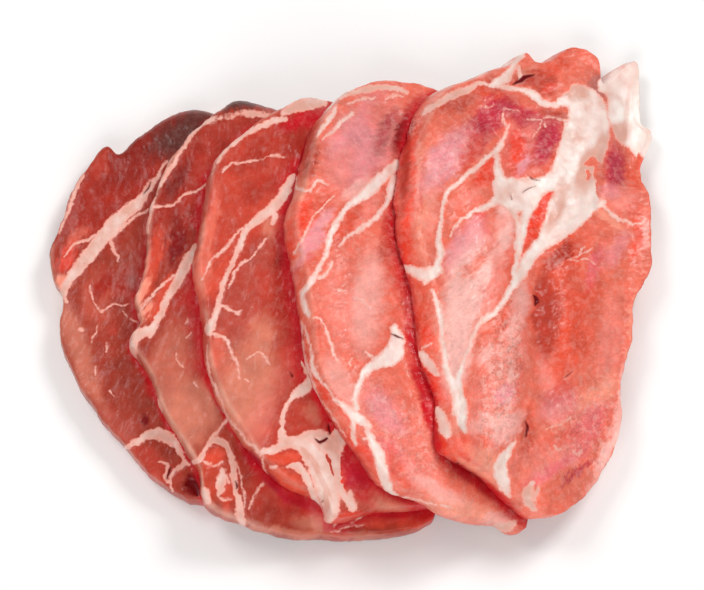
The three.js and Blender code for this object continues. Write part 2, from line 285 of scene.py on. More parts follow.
# %% Routes of the fat seams, as (across, down, width) in photograph pixels
SEAMS = {
    "slice_1": [
        [(66, 303, 3), (64, 293, 7), (66, 284, 9), (72, 275, 9), (80, 265, 12), (95, 248, 15),
         (106, 236, 16), (115, 225, 16), (125, 214, 12), (135, 205, 10), (143, 195, 8), (150, 185, 6),
         (158, 174, 4), (166, 161, 2)], [(92, 160, 2), (78, 185, 4), (68, 210, 3), (58, 232, 2)],
        [(63, 258, 1), (75, 243, 2.5), (95, 236, 4)],
        [(118, 229, 3), (128, 222, 3), (138, 214, 3), (148, 208, 1)],
        [(111, 241, 3), (114, 250, 3), (118, 260, 1)],
        [(92, 284, 1.2), (93, 298, 1.2), (98, 310, 1.5), (105, 310, 1.5), (115, 302, 2), (123, 306, 1.5),
         (129, 303, 1)], [(97, 326, 1), (94, 334, 2), (91, 342, 1)], [(79, 329, 2.5), (82, 331, 2)],
        [(95, 366, 1.5), (95, 374, 2)], [(107, 341, 1), (108, 350, 2.5)],
        [(124, 313, 1.5), (127, 317, 2)], [(131, 320, 1.5), (136, 321, 1.5)],
        [(110, 391, 2), (114, 395, 1)],
        [(128, 447, 5), (139, 441, 7), (150, 434, 9), (160, 433, 12), (168, 437, 11), (175, 444, 6),
         (181, 456, 4), (184, 462, 2)],
        [(157, 463, 1.2), (165, 465, 3), (166, 473, 3), (166, 480, 4), (170, 483, 4), (172, 476, 3),
         (177, 469, 4), (184, 463, 5), (189, 466, 2.5), (190, 473, 1)], [(170, 482, 3), (172, 492, 1.5)],
    ],
    "slice_2": [
        [(160, 180, 4), (154, 192, 6), (150, 207, 5), (147, 220, 4), (146, 232, 2)],
        [(153, 207, 3), (164, 206, 2), (175, 202, 2), (183, 196, 2), (186, 193, 3), (198, 190, 2),
         (206, 184, 2), (214, 182, 1.5)],
        [(196, 246, 4), (191, 254, 9), (186, 264, 11), (180, 275, 10), (172, 290, 8), (164, 306, 7),
         (156, 321, 7), (148, 334, 6)],
        [(173, 274, 2), (163, 284, 2.5), (152, 296, 2), (141, 307, 2), (138, 318, 2)],
        [(150, 328, 9), (142, 331, 11), (134, 336, 11), (131, 345, 9), (134, 353, 4)],
        [(134, 350, 4), (140, 368, 3), (150, 388, 2.5), (158, 403, 3), (164, 415, 1.5)],
        [(222, 118, 4), (207, 122, 4), (192, 132, 4), (184, 146, 3.5), (175, 161, 4), (167, 173, 4),
         (160, 183, 5)], [(226, 118, 4), (240, 114, 5), (256, 113, 6), (272, 114, 4)],
        [(175, 354, 1), (178, 362, 2), (184, 367, 1)], [(194, 381, 1.5), (196, 386, 2)],
        [(187, 338, 1.5), (191, 332, 1)], [(186, 324, 1), (189, 320, 1.5)],
        [(228, 420, 2), (219, 430, 3), (210, 440, 4), (204, 450, 4), (199, 459, 6), (194, 463, 5)],
        [(204, 462, 3), (210, 463, 2)],
        [(206, 447, 3), (213, 441, 7), (220, 441, 8), (227, 447, 7), (231, 458, 6), (233, 470, 6),
         (235, 484, 5), (238, 500, 6), (240, 514, 8), (243, 524, 6)],
        [(205, 468, 1), (214, 466, 2), (222, 462, 2.5)],
        [(223, 470, 5), (222, 478, 9), (221, 487, 10), (220, 495, 4)], [(226, 476, 4), (229, 482, 3)],
        [(203, 488, 5), (205, 494, 9), (207, 501, 8)], [(220, 496, 2), (225, 501, 2), (231, 498, 1.5)],
        [(235, 462, 1.2), (241, 478, 1.5), (244, 494, 1.5), (243, 512, 1.5)],
        [(262, 485, 1.5), (254, 496, 2), (248, 508, 1)], [(333, 527, 1), (341, 519, 2.5), (350, 514, 2)],
        [(352, 524, 1), (360, 518, 2), (366, 513, 1)], [(330, 533, 1), (350, 528, 1.5), (366, 526, 1)],
    ],
    "slice_3": [
        [(283, 113, 5), (292, 107, 10), (303, 104, 12), (315, 102, 12), (324, 101, 8)],
        [(286, 118, 4), (275, 119, 7), (262, 124, 7), (250, 130, 6), (240, 137, 5), (230, 144, 5),
         (221, 152, 5), (217, 160, 3)],
        [(224, 170, 2.5), (231, 163, 2), (240, 162, 1.5), (249, 161, 2), (262, 158, 1), (270, 155, 1.5),
         (277, 154, 2), (285, 156, 1)],
        [(295, 173, 3), (290, 182, 7), (284, 192, 10), (277, 201, 11), (268, 210, 10), (258, 218, 9),
         (249, 226, 8), (243, 237, 7), (239, 248, 6), (234, 259, 5), (230, 268, 5), (226, 280, 5),
         (223, 292, 5), (219, 305, 5), (215, 316, 7), (211, 326, 10), (209, 334, 7)],
        [(271, 204, 6), (274, 213, 6), (272, 222, 4)],
        [(247, 227, 3), (240, 229, 2), (234, 236, 2), (225, 249, 2.5), (213, 257, 2), (206, 268, 2),
         (202, 279, 1)],
        [(266, 239, 1.2), (254, 252, 1.5), (241, 264, 2), (234, 276, 2.5), (229, 288, 1)],
        [(218, 304, 2), (227, 308, 3), (234, 311, 2), (238, 313, 4), (242, 309, 1.5)],
        [(211, 335, 3), (220, 336, 2.5), (227, 339, 4), (230, 346, 2), (233, 354, 2), (237, 362, 2),
         (240, 378, 1.5)], [(246, 358, 1), (256, 352, 1.5), (264, 356, 1.5), (268, 363, 1)],
        [(244, 378, 1), (249, 381, 2)],
        [(206, 345, 1.5), (207, 362, 2), (210, 378, 3), (217, 387, 4), (222, 402, 1.5), (230, 420, 2),
         (243, 437, 2), (258, 452, 3)],
        [(302, 362, 2), (307, 368, 4), (309, 378, 7), (304, 388, 12), (298, 393, 11), (291, 398, 6),
         (286, 405, 5), (283, 414, 5), (282, 425, 5), (283, 436, 8), (287, 443, 11)],
        [(262, 453, 6), (272, 449, 7), (282, 445, 9), (292, 443, 13), (303, 446, 20), (313, 456, 24),
         (320, 469, 24), (325, 483, 22), (329, 497, 20), (331, 510, 16), (328, 520, 10)],
        [(298, 440, 10), (312, 436, 12), (325, 440, 20), (334, 450, 18), (337, 466, 16), (340, 482, 14),
         (346, 496, 12), (353, 507, 9)], [(338, 434, 12), (342, 444, 8)],
        [(271, 467, 3), (280, 465, 5), (290, 464, 7), (299, 468, 8), (306, 478, 8), (312, 490, 8),
         (316, 501, 8), (320, 512, 6)], [(264, 458, 2), (263, 466, 2), (267, 474, 1)],
        [(300, 496, 1), (304, 497, 2), (309, 494, 2)], [(318, 522, 3), (324, 526, 5), (329, 523, 4)],
        [(213, 174, 1), (216, 152, 2)],
    ],
    "slice_4": [
        [(340, 97, 4), (352, 92, 5), (365, 89, 6), (380, 87, 6), (395, 88, 6), (407, 93, 3)],
        [(347, 104, 1.5), (360, 99, 3), (375, 97, 2)], [(385, 98, 1.5), (395, 95, 2.5), (403, 96, 1)],
        [(336, 108, 4), (328, 118, 5), (321, 128, 5), (318, 136, 2)],
        [(352, 113, 4), (342, 120, 4), (333, 129, 3), (324, 138, 2)],
        [(299, 168, 1), (297, 178, 2), (297, 188, 1)],
        [(296, 187, 4), (303, 190, 4), (309, 190, 2.5), (314, 184, 2.5), (319, 180, 3), (328, 183, 1.5)],
        [(333, 196, 1.5), (322, 207, 1.5), (312, 219, 1.5), (304, 236, 2), (294, 254, 2)],
        [(396, 164, 9), (386, 174, 11), (374, 186, 11), (362, 195, 9), (351, 203, 7), (342, 212, 6),
         (335, 223, 6), (330, 236, 6), (327, 248, 5), (323, 260, 5), (317, 272, 5), (309, 284, 6),
         (303, 294, 6)],
        [(394, 176, 6), (390, 192, 7), (384, 207, 5), (372, 222, 5), (358, 230, 4), (345, 237, 3),
         (338, 246, 1.5)], [(331, 262, 3), (327, 272, 3), (318, 277, 4)],
        [(302, 292, 5), (302, 302, 7), (305, 311, 7), (309, 317, 3)],
        [(313, 317, 2), (321, 320, 1.5), (327, 332, 2.5), (331, 345, 2), (333, 352, 2.5), (338, 362, 1)],
        [(338, 289, 1.5), (343, 290, 2)], [(354, 299, 1), (362, 301, 1.5), (368, 306, 1)],
        [(349, 364, 1.5), (352, 358, 1)],
        [(301, 322, 2), (302, 340, 2), (306, 358, 2), (310, 372, 3), (315, 386, 2), (324, 402, 1.5),
         (336, 420, 1.5), (347, 436, 1)],
        [(304, 326, 2), (309, 340, 3), (312, 354, 3), (314, 366, 6), (319, 376, 5), (326, 387, 3),
         (334, 398, 3), (343, 405, 4)],
        [(395, 329, 10), (397, 338, 13), (396, 347, 18), (391, 356, 20), (383, 360, 16), (374, 364, 11),
         (366, 370, 9), (361, 379, 8), (357, 390, 7), (356, 400, 7), (357, 408, 7)],
        [(342, 404, 6), (349, 410, 9), (356, 416, 11), (363, 420, 9), (369, 426, 6)],
        [(355, 420, 6), (354, 430, 5), (354, 438, 5), (357, 446, 3)],
        [(368, 426, 4), (371, 436, 7), (375, 446, 10), (379, 457, 12), (382, 468, 13), (386, 480, 12),
         (391, 490, 9), (398, 496, 4)], [(364, 438, 3), (370, 437, 4)], [(364, 352, 2), (372, 356, 3)],
        [(400, 498, 3), (412, 499, 2), (432, 503, 2), (452, 508, 2)],
        [(495, 527, 6), (504, 527, 10), (513, 524, 9)],
    ],
    "slice_5": [
        [(423, 113, 3), (434, 105, 6), (451, 95, 7), (466, 88, 7), (481, 83, 5), (489, 84, 2)],
        [(509, 125, 2), (503, 139, 4), (498, 150, 6), (487, 158, 5), (473, 170, 5), (457, 184, 5),
         (448, 191, 5), (443, 206, 5), (440, 223, 5), (439, 241, 6), (440, 256, 7), (435, 269, 9),
         (425, 281, 6)], [(404, 268, 7), (416, 272, 12), (427, 274, 14), (436, 268, 12)],
        [(497, 152, 5), (498, 163, 6), (499, 175, 10)],
        [(498, 176, 8), (503, 186, 20), (511, 194, 33), (522, 195, 31), (533, 189, 24), (543, 184, 16),
         (552, 178, 14)],
        [(500, 198, 12), (491, 204, 8), (480, 209, 6), (469, 215, 4), (459, 222, 3), (450, 237, 1.5)],
        [(509, 206, 12), (517, 217, 6), (519, 230, 5), (518, 244, 5), (516, 256, 5), (514, 274, 8)],
        [(574, 90, 8), (579, 97, 22), (586, 104, 36), (588, 116, 42), (587, 130, 46), (584, 145, 46),
         (578, 160, 46), (572, 172, 44), (562, 180, 26), (547, 186, 13), (536, 198, 12), (527, 212, 11),
         (523, 228, 8), (520, 245, 6), (519, 258, 4)],
        [(574, 176, 46), (578, 190, 46), (576, 200, 44), (568, 210, 40), (561, 220, 32), (553, 230, 25),
         (544, 241, 17), (535, 251, 14), (527, 261, 13), (521, 271, 12), (515, 281, 10), (509, 291, 8),
         (503, 302, 6), (494, 312, 6), (484, 319, 5.5), (476, 328, 5), (469, 346, 4.5), (464, 360, 5),
         (460, 376, 8), (458, 388, 13), (459, 404, 14), (462, 418, 11), (467, 432, 5)],
        [(604, 202, 5), (594, 205, 12), (582, 208, 18)], [(560, 104, 7), (568, 100, 14), (578, 98, 18)],
        [(491, 85, 4), (498, 82, 10), (505, 79, 11), (512, 71, 9), (517, 63, 7), (522, 55, 8)],
        [(494, 85, 4), (503, 87, 5), (513, 89, 5), (522, 90, 6), (531, 93, 8), (540, 99, 8),
         (549, 104, 7), (558, 106, 6)], [(520, 68, 5), (521, 76, 5), (519, 82, 3)],
        [(503, 108, 1.2), (512, 109, 1), (520, 111, 1.2)], [(504, 113, 1.5), (503, 119, 1.5)],
        [(508, 126, 2), (505, 119, 2), (503, 112, 1.5)],
        [(527, 118, 1), (538, 119, 1.6), (549, 118, 1.6), (560, 120, 2), (570, 121, 3)],
        [(532, 136, 0.8), (539, 128, 1.2), (543, 120, 1.2)], [(545, 122, 1), (547, 127, 1)],
        [(480, 103, 1.2), (490, 106, 1.5), (495, 104, 1)],
        [(432, 290, 3), (438, 303, 6), (441, 316, 7), (442, 330, 6), (443, 342, 6), (446, 362, 7),
         (449, 376, 10), (454, 388, 14)], [(424, 349, 2), (429, 345, 2), (434, 341, 1.5)],
        [(421, 354, 7), (426, 360, 10), (432, 367, 9), (438, 374, 6)],
        [(439, 412, 8), (442, 419, 12), (445, 427, 13), (448, 434, 8)],
        [(515, 441, 3), (509, 449, 7), (503, 459, 12), (500, 470, 16), (502, 481, 14), (505, 490, 9),
         (508, 496, 4)], [(567, 261, 0.8), (575, 258, 1.3), (583, 253, 1.5), (592, 249, 0.8)],
        [(570, 262, 0.8), (585, 261, 1.2), (596, 266, 1)], [(577, 256, 0.8), (583, 246, 1)],
        [(597, 201, 4), (606, 208, 3), (616, 217, 3), (626, 222, 2.5), (638, 224, 2), (647, 219, 2)],
        [(606, 84, 16), (616, 82, 26), (625, 84, 38), (630, 98, 44), (630, 112, 44), (632, 124, 36)],
        [(630, 60, 14), (636, 74, 26), (642, 94, 20), (642, 110, 20)],
        [(636, 128, 26), (644, 138, 26), (650, 142, 26), (656, 138, 20)],
        [(532, 484, 5), (528, 492, 10), (528, 501, 11), (534, 508, 7)], [(538, 488, 4), (534, 498, 5)],
        [(554, 447, 2), (559, 450, 3), (563, 447, 1)], [(573, 450, 2), (578, 454, 2.5), (582, 449, 1)],
        [(546, 429, 1), (558, 425, 1.8), (571, 418, 1.2)],
    ],
}
print("seams of fat:", {name: len(routes) for name, routes in SEAMS.items()})

# %% Islands of lean in the fat: across, down, half length, half breadth, turn in degrees
ISLANDS = {
    "slice_3": [
        (287, 458, 15, 6, 18), (292, 484, 20, 8, -38), (344, 474, 24, 4, -80), (331, 466, 14, 2, -70),
    ],
    "slice_5": [(590, 161, 9, 5, 20), (588, 175, 6, 3, 60), (598, 170, 6, 10, 0), (600, 188, 9, 5, 85)],
}
ISLAND_DEPTH = 1.2  # mm outside the fat at an island's middle
FAT_DEPTH = 1.6  # mm inside, past which all fat is alike

# %% Cuts: slits between muscles that gape a little and are painted dark inside as shade, given as the seams are
CUTS = {
    "slice_1": [
        [(170, 468, 2), (169, 473, 3), (167, 479, 1.5)], [(151, 181, 1), (147, 188, 2), (143, 193, 1)],
        [(188, 484, 3), (192, 481, 6), (195, 486, 8), (197, 493, 5)],
    ],
    "slice_2": [[(235, 480, 1), (237, 485, 2.5), (236, 488, 1)]],
    "slice_3": [
        [(316, 438, 1.5), (320, 441, 4), (327, 437, 3)], [(330, 432, 2.5), (329, 424, 2)],
        [(290, 372, 1), (292, 376, 2.5)], [(322, 503, 1), (324, 501, 1.5)],
    ],
    "slice_4": [[(391, 333, 1), (396, 335, 2.5), (403, 338, 1)]],
    "slice_5": [
        [(513, 84, 1.5), (519, 81, 4), (526, 77, 4), (534, 74, 2)],
        [(564, 378, 0.8), (568, 375, 1.5), (573, 371, 0.8)],
        [(534, 293, 2), (537, 298, 5), (536, 303, 2)],
        [(526, 421, 1), (528, 428, 3), (526, 436, 1.5)], [(527, 175, 1), (533, 178, 2), (540, 180, 1)],
        [(523, 192, 1), (529, 188, 1.5), (536, 185, 1)], [(511, 194, 1), (512, 198, 1.5)],
        [(453, 464, 1), (457, 464, 2.5), (459, 463, 1)],
    ],
}
print("islands:", sum(map(len, ISLANDS.values())), " cuts:", sum(map(len, CUTS.values())))

# %% Depth into a seam or a cut
ROUTE_PARTS = 6  # steps from one given point of a route to the next
FAR = 11.0  # pixels outside a seam past which its distance no longer matters
NO_LENGTH = 1e-9  # keeps a stretch of no length from being divided by
WAVER_SIZE, SHAKE_SIZE, SHAKE = 19, 5, 0.7  # pixels, and the finer one's share


def smooth_route(route):
    """An open uniform Catmull-Rom curve through a route's points, widths included."""
    p = np.asarray(route, float)
    p = np.vstack([2 * p[0] - p[1], p, 2 * p[-1] - p[-2]])
    t = np.linspace(0, 1, ROUTE_PARTS, endpoint=False)[:, None, None]
    p0, p1, p2, p3 = p[:-3], p[1:-2], p[2:-1], p[3:]
    curve = p1 + 0.5 * (p2 - p0) * t + 0.5 * (2 * p0 - 5 * p1 + 4 * p2 - p3) * t**2
    curve = curve + 0.5 * (3 * p1 - p0 - 3 * p2 + p3) * t**3
    return np.vstack([curve.transpose(1, 0, 2).reshape(-1, 3), p[-2:-1]])


def depth_into_route(u, v, route, far=FAR):
    """How far each point lies inside a route's width: half the width minus the distance to the
    nearest stretch. Negative outside. Points past far are skipped and stay at -far."""
    depth = np.full(u.shape, -far)
    half = route[:, 2] / 2
    spare = far + half.max()
    low, high = route[:, :2].min(0) - spare, route[:, :2].max(0) + spare
    near = (u > low[0]) & (u < high[0]) & (v > low[1]) & (v < high[1])
    pu, pv, best = u[near], v[near], depth[near]
    for (au, av), (bu, bv), h0, h1 in zip(route[:-1, :2], route[1:, :2], half[:-1], half[1:]):
        du, dv = bu - au, bv - av
        t = np.clip(((pu - au) * du + (pv - av) * dv) / max(du * du + dv * dv, NO_LENGTH), 0, 1)
        away = np.hypot(pu - au - t * du, pv - av - t * dv)
        best = np.maximum(best, h0 + (h1 - h0) * t - away)
    depth[near] = best
    return depth


def depth_into(routes, u, v, waver):
    """Depth in mm into the nearest of some routes, which waver sideways like real ones."""
    moved = []
    for place, layer in ((u, 1), (v, 2)):
        shake = SHAKE * rough(u, v, SHAKE_SIZE, layer + 3, octaves=2)
        moved.append(place + waver * (rough(u, v, WAVER_SIZE, layer) + shake))
    depth = np.full(u.shape, -FAR)
    for route in routes:
        depth = np.maximum(depth, depth_into_route(*moved, smooth_route(route)))
    return depth * MM_PER_PIXEL


print("longest route:", max(len(route) for routes in SEAMS.values() for route in routes), "points")

# %% [markdown]
# ## Fibres
# A muscle is a bundle of fibres, and a cut across it shows their ends in fine rows. The rows bend
# gently over a slice, so they are taken as arcs round a far point: the distance from that point
# is counted across the rows and the angle along them.

# %% Rows of fibres: the centre of the arcs and where the angle is counted from, in pixels
ROW_CENTRES = dict(zip(NAMES, ((-500, 120), (-400, 100), (-400, 60), (446, 560), (660, 540))))
ROW_MIDDLES = dict(zip(NAMES, ((130, 300), (200, 320), (260, 300), (350, 280), (530, 280))))
ROW_WAVES, ROW_WAVE_SIZE = 3.3, 36  # pixels, by which the arcs are uneven


def fibre_rows(name, u, v):
    """Millimetres along and across the rows of fibres."""
    (cu, cv), (mu, mv) = ROW_CENTRES[name], ROW_MIDDLES[name]
    middle = np.hypot(mu - cu, mv - cv)
    du, dv = u - cu, v - cv
    ahead = (du * (mu - cu) + dv * (mv - cv)) / middle
    aside = (dv * (mu - cu) - du * (mv - cv)) / middle
    across = np.hypot(du, dv) + ROW_WAVES * rough(u, v, ROW_WAVE_SIZE, layer=2)
    return np.arctan2(aside, ahead) * middle * MM_PER_PIXEL, across * MM_PER_PIXEL


def streaks(name, u, v, length, width, layer):
    """A noise drawn out along the rows of fibres, with length and width in mm."""
    along, across = fibre_rows(name, u, v)
    return rough(along / length, across / width, 1.0, layer)


for name, (across, down) in ROW_MIDDLES.items():
    print(name, "rows are counted from", across, down)

# %% [markdown]
# ## Tones of the lean
# Each muscle has its own red. One that worked hard in life is dark, the eye of the collar is pale
# and pink, and fresh cuts are orange-red. Where two slices touch the meat is crimson, partly as it
# stays without air and partly as painted shade, and the two lowest slices have a darker ground
# that is partly painted shade too. The lilac patches are a painted sheen of the wet film. The tones
# are laid on like glazes: a ground colour for the slice, then soft-edged ovals one over another,
# with edges that waver and fray along the fibres.

# %% Palette of the lean, as the eye sees it in even light
# lilac_sheen is a painted sheen of the wet film, and rim a painted highlight along the top edge
TONES = {
    "dusk": "#5c2e29", "maroon": "#7c1810", "deep": "#a02416", "brick": "#b43a2a", "clay": "#b54e40",
    "coral": "#dc4d34", "orange": "#e93f26", "salmon": "#e26a54", "rose": "#ec8072",
    "blush": "#f6b6ac", "tan": "#d07962", "peach": "#f4957c", "lilac_sheen": "#e28f98",
    "mauve": "#a85c54", "pink": "#e5607a", "magenta": "#b8203c", "crimson": "#c00a1a",
    "rim": "#f2bea8", "russet": "#a03625", "garnet": "#780006", "petal": "#f2b0a8",
    "wine": "#960a2a",
}
# the darker ground of the two lowest slices is partly painted shade
GROUND = dict(zip(NAMES, ("russet", "russet", "brick", "salmon", "salmon")))
print(len(TONES), "tones")

